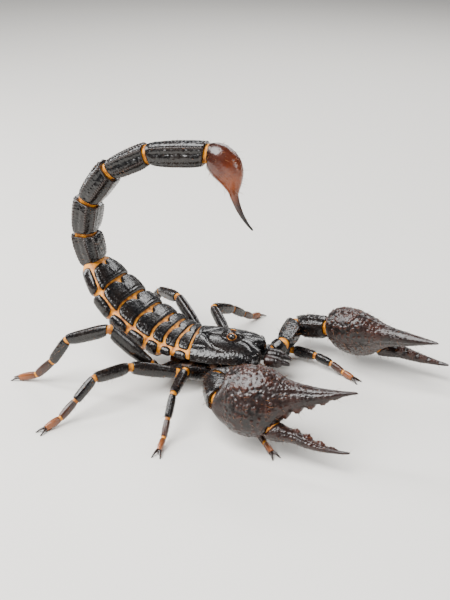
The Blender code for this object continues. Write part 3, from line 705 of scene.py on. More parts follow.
def shield_relief(mark, angle, places):
    """The mound, furrows, rim and grains of the head shield."""
    x, y, z = places.T
    top = fade(z, SHIELD_RIM + 0.8, SHIELD_RIM + 2.2)
    mirrored = np.stack([x, np.abs(y), z], axis=1)
    length = np.clip(1 - ((x - MOUND_X) / (MOUND_LENGTH / 2)) ** 2, 0, 1)
    breadth = MOUND_WIDTH / 2 * length**0.7 + 0.02
    mound = 1.75 * length**0.4 * (1 - fade(np.abs(y) / breadth, 0.45, 1.15))
    height = mound - 0.2 * bump(y, 0.3) * (mound > 0.5)
    height -= 0.28 * bump(near_path(places, ((4.9, 0), (7.0, 0), (9.4, 0))), 0.4) * top
    height -= 0.42 * bump(near_path(places, ((-3.2, 0), (-5, 0), (-6.8, 0))), 0.42) * top
    height -= 0.6 * bump(x + 7.9, 0.95) * bump(y, 1.3) * top
    height -= 0.3 * bump(near_path(places, ((-8.4, 0), (-9.6, 0), (-10.6, 0))), 0.5) * top
    furrow = ((-7.6, 1.2), (-6.6, 3.6), (-5.0, 6.0), (-3.4, 7.6), (-1.2, 8.3))
    height -= 0.42 * bump(near_path(mirrored, furrow), 0.42) * top
    height -= 0.3 * bump(near_path(mirrored, ((-10.4, 7.4), (-8.6, 7.5), (-6.9, 7.4))), 0.38) * top
    height -= 0.25 * bump(near_path(mirrored, ((4.6, 2.7), (6.4, 3.6), (8.0, 5.4))), 0.6) * top
    height -= 0.18 * bump(near_path(mirrored, ((-9.9, 0.6), (-9.95, 4), (-9.8, 8.0))), 0.28) * top
    height += 0.2 * bump(z - SHIELD_RIM - 0.35, 0.4) * (z > SHIELD_RIM)
    outer = fade(np.abs(y), 4.5, 8.5) * 0.8 + fade(-x, 5.5, 10) * 0.5 + fade(x, 6, 10) * 0.4
    outer = np.clip(outer, 0, 1) * (z > SHIELD_RIM)
    height += 0.15 * grains(places, 0.66, 3) * outer
    height += 0.06 * grains(places, 0.5, 8) * top * (1 - outer)
    for hand, _ in SIDES:
        gap, across = round_eye(places, hand)
        height += (gap < 2.6) * (0.26 * bump(across - 1.32, 0.26) - 0.35 * bump(across, 0.95))
    return height


def head_shield():
    obj = drawn_out("head_shield", shield_rows(), 220, 170, 2.5, shield_relief)
    places = points(obj)
    x, y, z = places.T
    notch = 1.9 * fade(x, 7.0, 11.0) * bump(y, 2.3)
    scallop = 0.5 * fade(-x, 9.0, 11.0) * bump(y, 1.3)
    places[:, 0] += scallop - notch
    lobes = 0.35 * bump(np.abs(y) - 3.4, 2.2) * fade(x, 6.5, 10.5) * (z > SHIELD_RIM)
    places[:, 2] += lobes
    set_points(obj, places)
    crest = 0.55 * grains(places, 0.66, 3) * fade(np.abs(y), 4, 9)
    for hand, _ in SIDES:
        gap, across = round_eye(places, hand)
        crest += (gap < 2.2) * bump(across - 1.3, 0.3)
    set_crest(obj, crest)
    return obj


def eye_bead(name, centre, look, radius, depth):
    """A domed lens on its socket: a ball flattened along its axis and fuller in the middle."""
    obj = new_ball(name, 48, 32)
    ball = points(obj)
    side = unit(np.cross(look, UP))
    rise = np.cross(side, look)
    dome = depth * ball[:, 2] * (1 + 0.12 * bump(1 - ball[:, 2], 0.5))
    places = centre + radius * (ball[:, :1] * side + ball[:, 1:2] * rise) + dome[:, None] * look
    set_points(obj, places)
    recalculate(obj)
    return obj


def eye_ring(name, hand, shield):
    """The thin skin round a middle eye, drawn out to a point in front and behind.

    It lies on the shield's own surface, whose points are given.
    """
    seat, look = eye_seat(hand)
    side = unit(np.cross(look, UP))
    rise = np.cross(side, look)
    bpy.ops.object.select_all(action="DESELECT")
    bpy.ops.mesh.primitive_torus_add(
        major_segments=96, minor_segments=14, major_radius=EYE_RING, minor_radius=EYE_RING_THICKNESS
    )
    obj = bpy.context.active_object
    obj.name = name
    ring = points(obj)
    turned = np.arctan2(ring[:, 1], ring[:, 0])
    across, up = ring[:, 0] * (1 + 0.3 * np.abs(np.cos(turned)) ** 5), ring[:, 1]
    close = shield[np.linalg.norm(shield - seat, axis=1) < EYE_SURROUND] - seat
    gaps = np.hypot(across[:, None] - close @ side, up[:, None] - close @ rise)
    weight = bump(gaps, 0.3) + 1e-12
    lie = np.maximum(weight @ (close @ look) / weight.sum(1), -0.05) + ring[:, 2]
    set_points(obj, seat + np.outer(across, side) + np.outer(up, rise) + np.outer(lie, look))
    recalculate(obj)
    return obj


def jaw(hand):
    """One small pincer under the shield's front edge: a swollen stock and two hooked fingers."""
    root = 11.75
    stock = ((root, 0.0, 0.0), (11.7, 1.2, 0.95), (11.9, 1.7, 1.32), (13.2, 2.05, 1.75))
    stock += ((15.4, 1.95, 1.75), (17.0, 1.4, 1.35), (17.7, 0.7, 0.7), (17.8, 0.0, 0.0))
    rows = []
    for x, width, height in stock:
        centre = np.array((x, hand * 2.33, 9.1 - 0.1 * (x - root)))
        rows.append(row(centre, AHEAD, ACROSS, width, height, height, None, (x - root) / 6))

    def grainy(mark, angle, places):
        upper = fade(places[:, 2], 8.6, 9.6)
        return 0.07 * grains(places, 0.5, 5) * upper - 0.12 * bump(mark - 0.62, 0.05)

    pieces = [drawn_out("stock", rows, 48, 40, 2.3, grainy)]
    for y_root, y_tip, thick in ((1.55, 1.45, 0.8), (3.1, 2.35, 0.72)):
        inner = 1 if y_root < y_tip + 0.3 else -1
        rows = []
        for share, size in ((0, 0), (0.01, 0.8), (0.1, 1.0), (0.5, 0.8), (0.8, 0.55), (0.95, 0.33), (1, 0)):
            x = 16.0 + 4.0 * share
            y = hand * (y_root + (y_tip - y_root) * share**1.5)
            centre = np.array((x, y, 8.75 - 0.9 * share**2))
            rows.append(row(centre, AHEAD, ACROSS, *[thick * size] * 3, None, share))

        def toothed(mark, angle, places, facing=0 if inner * hand > 0 else 180):
            saw = np.abs(np.cos(math.pi * mark * 5)) ** 0.6
            middle = fade(mark, 0.3, 0.45) * (1 - fade(mark, 0.85, 0.95))
            return 0.3 * bump(turn(angle, facing), 35) * saw * middle

        pieces.append(drawn_out("tine", rows, 24, 40, 2.0, toothed))
    return joined(pieces, f"jaw_{'left' if hand > 0 else 'right'}")


def coxa_direction(hand, number):
    """The way of a hip, from its root at the breastplate to the leg."""
    root = np.array((HIP_ROOTS[number], hand * HIP_ROOT_Y, HIP_ROOT_Z))
    return unit(np.array(HIPS[number]) * (1, hand, 1) - root)


def shoulder_direction(hand):
    return unit(np.array((0.9, hand * 0.43, 0.0)))


def horn_relief(keels, keel_height, grain_height, pitch=0.6, seed=1, tooth=0.0):
    """Relief of a limb link: keels at those angles in degrees, and grains over the rest."""

    def relief(mark, angle, places):
        middle = fade(mark, 0.06, 0.16) * (1 - fade(mark, 0.86, 0.96))
        height = grain_height * grains(places, pitch, seed)
        for about in keels:
            beads = 1.0
            if tooth:
                beads = 0.5 + 0.5 * np.abs(np.cos(math.pi * places.sum(1) / tooth)) ** 0.8
            height = np.maximum(height, keel_height * beads * bump(turn(angle, about), 7) * middle)
        return height + 0.1 * bump(mark - 0.97, 0.03)

    return relief


def hip_plates(hand):
    """The hips of four legs and an arm: horny stubs spread from the breastplate."""
    pieces = []
    for number, hip in HIPS.items():
        end = np.array(hip) * (1, hand, 1)
        along, onward = coxa_direction(hand, number), leg_chain(hand, number)[1][0]
        start = np.array((HIP_ROOTS[number], hand * HIP_ROOT_Y, HIP_ROOT_Z)) - along * 2.1
        side = unit(np.array((-along[1], along[0], 0)))
        shape = ((0.0, 1.3, 1.6), (0.2, 1.75, 2.0), (0.6, 2.25, 2.3), (0.9, 1.9, 2.0), (1.0, 1.55, 1.7))
        rows = link_rows(start, end, side, shape, along, onward)
        relief = horn_relief((60, 120, -90), 0.2, 0.1, 0.6, number)
        pieces.append(drawn_out("hip", rows, 56, 48, 2.6, relief))
    end = np.array(SHOULDER) * (1, hand, 1)
    along = shoulder_direction(hand)
    side = unit(np.array((-along[1], along[0], 0)))
    shape = ((0.0, 2.4, 2.0), (0.6, 2.9, 2.1), (0.9, 2.6, 2.0), (1.0, 2.2, 1.9))
    onward = arm_chain(hand)[1][0]
    rows = link_rows(end - along * 8.4, end, side, shape, along, onward)
    pieces.append(drawn_out("shoulder", rows, 56, 48, 2.4, horn_relief((90, -60), 0.2, 0.12, 0.7, 9)))
    return joined(pieces, f"hips_{'left' if hand > 0 else 'right'}")


def breast_skin():
    """The soft underside of the head that shows between the hips."""
    breadths = ((-18.6, 0.0), (-18.5, 5.5), (-17.0, 8.6), (-14.0, 9.6), (-10.0, 9.4))
    breadths += ((-4.0, 7.6), (3.0, 6.8), (8.0, 5.2), (9.8, 3.6), (9.9, 0.0))
    rows = []
    for x, half_width in breadths:
        tall = 1.45 * min(half_width / 4.0, 1.0)
        rows.append(row(np.array((x, 0.0, 7.35)), AHEAD, ACROSS, half_width, tall, tall, None, x / 10))
    return drawn_out("breast_skin", rows, 80, 70, 3.0, pleats(0.09, 0.06))


def breastplate():
    """The small five-sided plate between the hips, and the lobes of the genital lid behind it."""
    obj = new_grid("breastplate", 40, 30)
    grid = points(obj)
    u, v = grid[:, 0], grid[:, 1]
    x = -6.4 + 3.2 * u * np.sqrt(1 - 0.3 * v**2)
    y = 2.1 * v * (1 - 0.35 * fade(u, 0.2, 1.0)) * np.sqrt(1 - 0.3 * u**2)
    z = 4.0 + 0.5 * np.maximum(np.abs(u), np.abs(v)) ** 5 + 0.25 * bump(y, 0.4) * fade(-u, -0.6, 0.6)
    set_points(obj, np.stack([x, -y, z], axis=1))
    plate = with_thickness(obj, 0.5)
    lobes = []
    for hand, _ in SIDES:
        lobe = new_ball("lobe", 32, 20)
        ball = points(lobe)
        places = np.array((-11.6, hand * 1.35, 4.3)) + ball * (1.7, 1.25, 0.5)
        set_points(lobe, places)
        lobes.append(lobe)
    return joined([plate, *lobes], "breastplate")


# ---- trunk and tail ----------------------------------------------------------------------------
TRUNK_WAYS = [heading(azimuth, pitch) for _, _, _, azimuth, pitch in TRUNK]
TRUNK_JOINTS = walk(TRUNK_START, [ring[0] for ring in TRUNK], TRUNK_WAYS)
TAIL_WAYS = [heading(TAIL_AZIMUTH, pitch) for _, _, _, pitch in TAIL]
TAIL_JOINTS = walk(TRUNK_JOINTS[-1], [ring[0] for ring in TAIL], TAIL_WAYS)
BULB_WAY = heading(TAIL_AZIMUTH, BULB[0][3])
TAIL_MEETS = [TRUNK_WAYS[-1], *TAIL_WAYS, BULB_WAY]


def trunk_row(k, share):
    """The trunk's outline at a share of ring k's length. The first two are only a roof."""
    length, width, height, azimuth, _ = TRUNK[k]
    next_width, next_height = TRUNK[k + 1][1:3] if k + 1 < len(TRUNK) else (0.50, 0.72)
    along, side = TRUNK_WAYS[k], leftward(azimuth)
    start = halfway(TRUNK_WAYS[k - 1], along) if k else -AHEAD
    end = halfway(along, TRUNK_WAYS[k + 1] if k + 1 < len(TRUNK) else TAIL_WAYS[0])
    inside = min(max(share, 0.0), 1.0)
    blend = inside**1.5 if k == len(TRUNK) - 1 else 0.5 * inside
    half_width = TRUNK_WIDTH / 2 * (width + (next_width - width) * blend)
    tall = TRUNK_HEIGHT * (height + (next_height - height) * blend)
    up = min(tall * 0.52, 0.47 * TRUNK_HEIGHT) if k > 1 else 4.55
    down = tall - up if k > 1 else 1.25
    plane = unit(start * (1 - share) + end * share)
    centre = TRUNK_JOINTS[k] + along * (share * length)
    return row(centre, along, side, half_width, up, down, plane, k + share)


def trunk_places(k, share, angle, lift):
    """Points of ring k's surface at those shares of its length and angles, lifted by lift mm."""
    marks = np.linspace(-0.2, 1.2, 11)
    at = flow(share, marks, [trunk_row(k, mark) for mark in marks])
    at[:, 9:12] += lift[:, None]
    return at[:, :3] + section(at, angle, 2.35)


def lobed(phi, depth):
    """How far back a plate's rear seam bows, in mm: level in the middle, forward at the flanks."""
    return depth * (0.7 - 1.6 * np.clip(np.abs(phi) / PLATE_REACH - 0.3, 0, 1) ** 2 / 0.49)


def notch(phi, depth):
    """How deep the sharp notch between a plate's two rear lobes is, in mm."""
    return (0.5 + 1.2 * depth) * np.exp(-((np.abs(phi) / 4.2) ** 1.3))


def trunk_skin():
    """The amber skin of the whole trunk, pinched at every joint."""
    stations = []
    for k in range(len(TRUNK)):
        for share, pinch in ((0.0, 0.5), (0.2, 0.1), (0.5, 0.0), (0.8, 0.1)):
            stations.append((k, share, 0.62 + pinch * (0.5 if k < 2 else 1.0)))
    rows = []
    for k, share, inset in (*stations, (len(TRUNK) - 1, 1.0, 0.9)):
        station = list(trunk_row(k, share))
        station[9:12] = [value - inset for value in station[9:12]]
        rows.append(station)
    ends = ((0.9, 0.0), (1.0, 0.5), (0.8, 0.9))
    front = [moved_row(rows[0], -TRUNK_WAYS[0] * inset, size) for inset, size in ends]
    ends = ((0.9, 0.85), (1.3, 0.5), (1.4, 0.0))
    rear = [moved_row(rows[-1], TAIL_WAYS[0] * inset, size) for inset, size in ends]

    def folds(mark, angle, places):
        flank = bump(turn(angle, -10), 40) + bump(turn(angle, 190), 40)
        return 0.09 * np.cos(2 * math.pi * mark * 6 + 2 * np.sin(places[:, 2])) * flank

    return drawn_out("trunk_skin", front + rows + rear, 120, 220, 2.35, folds)


def back_plate(k):
    """One plate of the back: two lobes behind with a notch between them, rolled edges."""
    length = TRUNK[k][0]
    obj = new_grid(f"back_plate_{k + 1}", 54, 130)
    grid = points(obj)
    u, v = grid[:, 0], grid[:, 1]
    phi = PLATE_REACH * v * (1 - 0.08 * np.abs(u) ** 5)
    depth = (0.62, 0.72, 0.85, 1.0, 1.0, 0.95, 0.8)
    seam = 0.75
    front = seam / 2 + (lobed(phi, depth[k - 1]) if k else 0.15)
    rear = length - seam / 2 + lobed(phi, depth[k]) - notch(phi, depth[k])
    if k == len(TRUNK) - 1:
        rear -= 1.0
    share = (front + (rear - front) * (u + 1) / 2) / length
    edge = -0.62 * np.abs(u) ** 7 - 0.55 * np.abs(v) ** 14
    middle = 1 - u**2
    lift = edge + 0.12 * middle
    if k > 1:
        lift += 0.12 * bump(phi, 3.6) * fade(u, -0.5, -0.2) * (1 - fade(u, 0.6, 0.9))
    lift -= 0.16 * bump(u + 0.56, 0.09) * (1 - bump(phi, 8)) * (0.5 if k < 2 else 1.0)
    lift -= 0.14 * bump(np.abs(phi) - 38, 5) * middle
    plain = trunk_places(k, share, np.radians(90 - phi), lift)
    rough = 0.25 + 0.75 * fade(np.abs(phi), 22, 50) + 0.5 * fade(u, 0.2, 0.9)
    grain = grains(plain, 0.62, 11 + k) * np.clip(rough, 0, 1) * (1 - np.abs(u) ** 8)
    set_points(obj, trunk_places(k, share, np.radians(90 - phi), lift + 0.13 * grain))
    set_crest(obj, 0.55 * grain + 0.35 * np.abs(u) ** 12)
    return with_thickness(obj, 0.4)


def side_plate(k, hand):
    """The small shield on the flank below a back plate."""
    length = TRUNK[k][0]
    obj = new_grid("side_plate", 30, 26)
    grid = points(obj)
    u = grid[:, 0] * np.sqrt(1 - 0.3 * grid[:, 1] ** 2)
    v = grid[:, 1] * np.sqrt(1 - 0.3 * grid[:, 0] ** 2)
    high, low = (28, -48) if k < 2 else (28, -22)
    below = (high + low) / 2 - hand * (high - low) / 2 * v
    middle = 0.53 - 0.03 * hand * v
    share = middle + (0.5 - 0.45 / length) * u
    rim = np.maximum(np.abs(grid[:, 0]), np.abs(grid[:, 1]))
    lift = 0.05 - 0.7 * rim**5
    angle = np.radians(below if hand > 0 else 180 - below)
    plain = trunk_places(k, share, angle, lift)
    grain = grains(plain, 0.5, 30 + k) * (1 - rim**6)
    set_points(obj, trunk_places(k, share, angle, lift + 0.1 * grain))
    set_crest(obj, 0.5 * grain)
    return with_thickness(obj, 0.35)


def belly_plate(k):
    """One smooth plate of the belly, with its two breathing slits or, on the last, its keels."""
    length = TRUNK[k][0]
    obj = new_grid("belly_plate", 44, 70)
    grid = points(obj)
    u, v = grid[:, 0], grid[:, 1]
    phi = 52 * v * (1 - 0.06 * np.abs(u) ** 5)
    share = 0.5 + (0.5 - 0.42 / length) * u + 0.03 * bump(phi, 20)
    lift = 0.08 * (1 - u**2) - 0.6 * np.abs(u) ** 8 - 0.5 * np.abs(v) ** 10
    if k < len(TRUNK) - 1:
        lift -= 0.45 * bump(u - 0.1 + 0.02 * (np.abs(phi) - 24), 0.075) * bump(np.abs(phi) - 24, 5.5)
    else:
        lift += 0.14 * (bump(np.abs(phi) - 10, 2) + bump(np.abs(phi) - 28, 2)) * fade(u, -0.7, -0.3)
    set_points(obj, trunk_places(k, share, np.radians(-90 - phi), lift))
    set_crest(obj, 0.3 * np.abs(v) ** 8)
    return with_thickness(obj, 0.4)


def tail_profile(k):
    """Shares of length and half sizes of a tail ring: waisted in front, fullest past its middle."""
    _, width, height, _ = TAIL[k]
    shape = ((0.0, 0.76), (0.12, 0.89), (0.38, 0.99), (0.68, 1.01), (0.9, 0.96), (1.0, 0.83))
    half = TAIL_WIDTH / 2
    return [(share, half * width * size, half * height * size) for share, size in shape]


def tail_relief(k):
    """Keels of a tail ring, toothed along the back, and the grains between them."""
    keels = ((52, 0.46, 0.95), (128, 0.46, 0.95), (14, 0.36, 0.85), (166, 0.36, 0.85))
    keels += ((-38, 0.42, 0.95), (-142, 0.42, 0.95), (-72, 0.34, 0.95), (-108, 0.34, 0.95))
    if k == len(TAIL) - 1:
        keels = ((56, 0.28, 0.8), (124, 0.28, 0.8), (-40, 0.4, 1.15), (-140, 0.4, 1.15))
        keels += ((-90, 0.36, 1.15),)

    def relief(mark, angle, places):
        travel = mark * TAIL[k][0]
        middle = fade(mark, 0.05, 0.14) * (1 - fade(mark, 0.92, 0.98))
        height = 0.09 * grains(places, 0.55, 50 + k) + 0.1 * grains(places, 1.3, 60 + k)
        for about, tall, pitch in keels:
            beads = 0.45 + 0.55 * np.abs(np.cos(math.pi * travel / pitch))
            keel = tall * beads * (0.75 + 0.6 * mark) * bump(turn(angle, about), 5.5)
            height = np.maximum(height, keel * middle)
        hollow = 0.42 * bump(turn(angle, 90), 24) * fade(mark, 0.02, 0.2)
        for about in (33, 147, -12, 192, -55, -125, -90):
            hollow = hollow + 0.34 * bump(turn(angle, about), 10) * middle
        rim = 0.22 * bump(mark - 0.955, 0.022)
        return height - hollow + rim

    return relief


def tail_ring(k):
    joints, side, profile = TAIL_JOINTS[k : k + 2], leftward(TAIL_AZIMUTH), tail_profile(k)
    rows = link_rows(*joints, side, profile, TAIL_MEETS[k], TAIL_MEETS[k + 2], (0.9, 0.9))
    return drawn_out(f"tail_shell_{k + 1}", rows, 160, 120, 2.4, tail_relief(k))


def venom_bulb():
    """The bulb and its hook in one: swollen below, drawn out forward to a point."""
    side = leftward(TAIL_AZIMUTH)
    rows = []
    centre, behind = TAIL_JOINTS[-1], BULB[0]
    for station in BULB:
        distance, width, height, pitch = station
        centre = centre + heading(TAIL_AZIMUTH, (pitch + behind[3]) / 2) * (distance - behind[0])
        behind = station
        along = heading(TAIL_AZIMUTH, pitch)
        sizes = TAIL_WIDTH / 2 * np.array((width, 0.86 * height, 1.1 * height))
        if distance == 0:
            plane = halfway(TAIL_WAYS[-1], along)
            for reach, size in END:
                start = centre + along * (0.45 + reach)
                rows.append(row(start, along, side, *sizes * size, plane, 0.0))
        elif distance == BULB[1][0]:
            rows.append(row(centre + along * 0.35, along, side, *sizes, None, 0.05))
        else:
            rows.append(row(centre, along, side, *sizes, None, distance / BULB_REACH))
    steps = 10
    for i in range(1, steps + 1):
        share = i / steps
        pitch = STING_PITCHES[0] + (STING_PITCHES[1] - STING_PITCHES[0]) * share**1.2
        along = heading(TAIL_AZIMUTH, pitch)
        centre = centre + along * (STING_LENGTH / steps)
        radius = STING_ROOT + (STING_TIP - STING_ROOT) * share**0.72
        mark = 1 - STING_LENGTH * (1 - share) / BULB_REACH
        rows.append(row(centre, along, side, radius, radius, radius, None, mark))
    rows.append(moved_row(rows[-1], along * 0.25, 0, 1.0))

    def relief(mark, angle, places):
        bulb = 1 - fade(mark, 0.36, 0.5)
        low = bump(turn(angle, -90), 80)
        height = 0.1 * grains(places, 0.75, 71) * low * bulb
        height -= 0.16 * bump(turn(angle, -90), 7) * bulb * fade(mark, 0.03, 0.1)
        return height - 0.1 * (bump(turn(angle, -10), 9) + bump(turn(angle, 190), 9)) * bulb

    return drawn_out("venom_bulb", rows, 96, 230, 2.05, relief, lambda mark: mark)


def comb(hand):
    """One feathered comb under the belly: a jointed shaft and a row of flat teeth."""

    def root(share):
        bow = 1.6 * math.sin(math.pi * 0.5 * share)
        return np.array((-16.3 - 3.6 * share + 0.2 * bow, hand * (1.4 + 9.7 * share), 3.35))

    rows = []
    outward = unit(root(1) - root(0))
    side = np.cross(UP, outward)
    shape = ((0, 0), (0.005, 0.7), (0.04, 1), (0.3, 1.0), (0.6, 0.85), (0.9, 0.62), (0.99, 0.4), (1, 0))
    for share, size in shape:
        rows.append(row(root(share), outward, side, 0.95 * size, 0.42 * size, 0.42 * size, None, share))

    def joints(mark, angle, places):
        return -0.14 * bump((mark * 9) % 1.0 - 0.5, 0.1) - 0.08 * bump(turn(angle, -90), 12)

    pieces = [drawn_out("shaft", rows, 32, 90, 2.6, joints)]
    model = new_ball("comb_tooth", 12, 12)
    ball = points(model)
    for i in range(COMB_TEETH):
        share = (i + 0.5) / COMB_TEETH
        tooth = twin(model)
        reach = 2.5 * (1 - 0.38 * share)
        away = 0.5 * (ball[:, 2] + 1)
        across = ball[:, 0] * 0.26 * (1 + 0.25 * away) - hand * 0.25 * reach * away**2
        set_points(tooth, root(share) + np.stack([-reach * away, across, ball[:, 1] * 0.24], axis=1))
        pieces.append(tooth)
    bpy.data.objects.remove(model)
    piece = joined(pieces, f"comb_{'left' if hand > 0 else 'right'}")
    recalculate(piece)
    set_crest(piece, np.full(len(piece.data.vertices), 0.45))
    return piece


# ---- claw arms ---------------------------------------------------------------------------------
def arm_chain(hand):
    """Azimuths, directions and joints of an arm's three links."""
    pose = ARMS[hand]
    ways = [heading(*pose.trochanter), heading(*pose.femur), heading(*pose.patella)]
    azimuths = [pose.trochanter[0], pose.femur[0], pose.patella[0]]
    return azimuths, ways, walk(np.array(SHOULDER) * (1, hand, 1), ARM_LENGTHS, ways)


ARM_PROFILES = (
    ((0.0, 1.9, 1.9), (0.4, 2.6, 2.6), (0.8, 2.7, 2.6), (1.0, 2.3, 2.3)),
    ((0.0, 2.1, 2.1), (0.2, 2.8, 2.6), (0.6, 3.25, 2.9), (0.88, 3.2, 2.9), (1.0, 2.6, 2.5)),
    ((0.0, 2.3, 2.3), (0.15, 3.4, 3.1), (0.45, 4.2, 3.7), (0.8, 3.9, 3.6), (1.0, 2.7, 2.7)),
)


def hand_axes(hand):
    """Along the hand, through its thickness, and up its breadth."""
    pose = ARMS[hand]
    along, level = heading(*pose.hand), leftward(pose.hand[0])
    roll = math.radians(pose.roll)
    breadth = np.cross(along, level) * math.cos(roll) + level * math.sin(roll)
    return along, unit(np.cross(breadth, along)), breadth


def arm_link(hand, k):
    azimuths, ways, joints = arm_chain(hand)
    meets = [shoulder_direction(hand), *ways, hand_axes(hand)[0]]
    seams = ((1.1, 1.2), (1.2, 1.4), (1.4, 2.0))[k]
    ends, side = joints[k : k + 2], leftward(azimuths[k])
    rows = link_rows(*ends, side, ARM_PROFILES[k], meets[k], meets[k + 2], seams)
    keels = ((20, 100, -60), (38, 142, -38, -142), (30, 150, -30, -150))[k]
    relief = horn_relief(keels, (0.2, 0.34, 0.28)[k], 0.14, 0.85, 20 + k, (0.0, 1.3, 1.6)[k])
    return drawn_out("arm_link", rows, 110, 90, 2.5, relief)


def palm(hand):
    """The swollen hand, rough with grains, and the toothed finger that grows from it."""
    along, side, breadth = hand_axes(hand)
    _, ways, joints = arm_chain(hand)
    wrist = joints[-1]
    plane = halfway(ways[-1], along)
    shares = [d for d, _, _, _ in HAND]
    sizes = [((low + high) / 2, (high - low) / 2, thick) for _, low, high, thick in HAND]
    lean = along / along.dot(plane)
    side_there, breadth_there = side - lean * side.dot(plane), breadth - lean * breadth.dot(plane)
    middle, half, thick = flow(np.array([0.5]), shares, sizes)[0]
    rows = []
    for reach, size in END:
        centre = wrist + along * (0.9 + reach) + breadth_there * middle
        sizes_there = (thick * size, half * size, half * size)
        rows.append((*centre, *side_there, *breadth_there, *sizes_there, 0.5))
    for distance, low, high, thick in HAND[2:]:
        middle, half = (low + high) / 2, (high - low) / 2
        centre = wrist + along * distance + breadth * middle
        rows.append((*centre, *side, *breadth, thick, half, half, distance))
    tip = wrist + along * 41.0 + breadth * 1.3
    rows.append((*tip, *side, *breadth, 0, 0, 0, 41.0))

    def relief(mark, angle, places):
        palm_part = 1 - fade(mark, 17, 25)
        upper = 0.55 + 0.45 * bump(turn(angle, 90), 75)
        coarse = grains(places, 1.2, 90) * palm_part * fade(mark, 1.5, 4.5)
        height = 0.4 * coarse * upper + 0.13 * grains(places, 0.7, 91) * (1 - 0.5 * palm_part)
        for about in (12, 168):
            height -= 0.22 * bump(turn(angle, about), 9) * fade(mark, 12, 18) * (1 - fade(mark, 30, 38))
        edge = bump(turn(angle, -90), 24) * fade(mark, 18.5, 21) * (1 - fade(mark, 37, 39.5))
        lobe = 1.3 * np.abs(np.cos(math.pi * (mark - 19.8) / LOBE_PITCH)) ** 1.5
        lobe *= 1 - fade(mark, 22, 44) * 0.7
        saw = 0.26 * np.abs(np.cos(math.pi * mark / TOOTH_PITCH))
        return height + edge * (lobe + saw - 0.45)

    return drawn_out("palm", rows, 220, 230, 2.2, relief)


def free_finger(hand):
    """The movable finger, toothed along its upper edge, hinged in the palm's lower corner."""
    along, side, breadth = hand_axes(hand)
    wrist = arm_chain(hand)[2][-1]
    rows = []
    for distance, height, half, thick, tilt in FINGER:
        t = math.radians(tilt)
        across = breadth * math.cos(t) - along * math.sin(t)
        centre = wrist + along * distance + breadth * height
        rows.append([*centre, *side, *across, thick, half, half, distance])
    ahead = np.cross(side, np.array(rows[0][6:9]))
    end = moved_row(rows[0], -ahead * 1.1, 0, 16.0)
    rim = moved_row(rows[0], -ahead, 0.75)
    tip = moved_row(rows[-1], along * 0.5 + breadth * 0.06, 0, 38.2)
    rows = [end, rim, moved_row(rows[0], 0, 0.97), *rows[1:], tip]

    def relief(mark, angle, places):
        height = 0.12 * grains(places, 0.75, 95) * (1 - fade(mark, 26, 34))
        edge = bump(turn(angle, 90), 26) * fade(mark, 20, 22.5) * (1 - fade(mark, 34.5, 37))
        lobe = 0.95 * np.abs(np.cos(math.pi * (mark - 21.8) / LOBE_PITCH)) ** 1.5
        lobe *= 1 - fade(mark, 24, 40) * 0.6
        saw = 0.24 * np.abs(np.cos(math.pi * mark / TOOTH_PITCH))
        groove = bump(turn(angle, 10), 10) + bump(turn(angle, 170), 10)
        height -= 0.14 * groove * fade(mark, 17, 20) * (1 - fade(mark, 28, 35))
        return height + edge * (lobe + saw - 0.3)

    return drawn_out("free_finger", rows, 90, 170, 2.15, relief)


# ---- legs --------------------------------------------------------------------------------------
def leg_chain(hand, number):
    """Azimuths, directions and joints of a leg, whose thigh takes up the drop to the floor."""
    pose = LEGS[hand, number]
    lengths = [length * LEG_SCALE[number] for length in LEG_LENGTHS]
    x, y, z = HIPS[number]
    drops = (length * math.sin(math.radians(pitch)) for length, pitch in zip(lengths[1:], pose.pitches))
    thigh_pitch = math.degrees(math.asin((FOOT_HEIGHT - z - sum(drops)) / lengths[0]))
    azimuths = [pose.thigh] + [pose.rest] * 4
    ways = [heading(*way) for way in zip(azimuths, (thigh_pitch, *pose.pitches))]
    return azimuths, ways, walk((x, hand * y, z), lengths, ways)


LEG_PROFILES = (
    ((0.0, 0.86), (0.12, 1.02), (0.22, 0.92), (0.34, 0.95), (0.6, 1.16), (0.88, 1.1), (1.0, 0.9)),
    ((0.0, 0.82), (0.3, 1.06), (0.8, 0.98), (1.0, 0.76)),
    ((0.0, 0.72), (0.35, 0.84), (0.85, 0.80), (1.0, 0.64)),
    ((0.0, 0.60), (0.5, 0.70), (1.0, 0.58)),
    ((0.0, 0.54), (0.5, 0.60), (1.0, 0.44)),
)


def leg_profile(number, k):
    """Shares of length and half sizes of a leg's link; the rear legs are stouter."""
    size = 0.9 + 0.06 * number
    width, height = LEG_BREADTH / 2 * size, LEG_DEPTH / 2 * size
    return [(share, width * s, height * s) for share, s in LEG_PROFILES[k]]


def leg_link(hand, number, k, span=(0.0, 1.0), tone=None):
    """One link of a leg, ridged above and below."""
    azimuths, ways, joints = leg_chain(hand, number)
    meets = [coxa_direction(hand, number), *ways, ways[4]]
    seams = ((0.9, 1.6), (1.6, 1.0), (1.0, 0.8), (0.8, 0.7), (0.7, 0.6))[k]
    ends, side, profile = joints[k : k + 2], leftward(azimuths[k]), leg_profile(number, k)
    rows = link_rows(*ends, side, profile, meets[k], meets[k + 2], seams, span)
    relief = horn_relief((90, 62, 118, -70, -110), 0.12, 0.07, 0.55, 40 + k + number, 1.0)
    return drawn_out("leg_link", rows, 48, 56, 2.25, relief, tone)


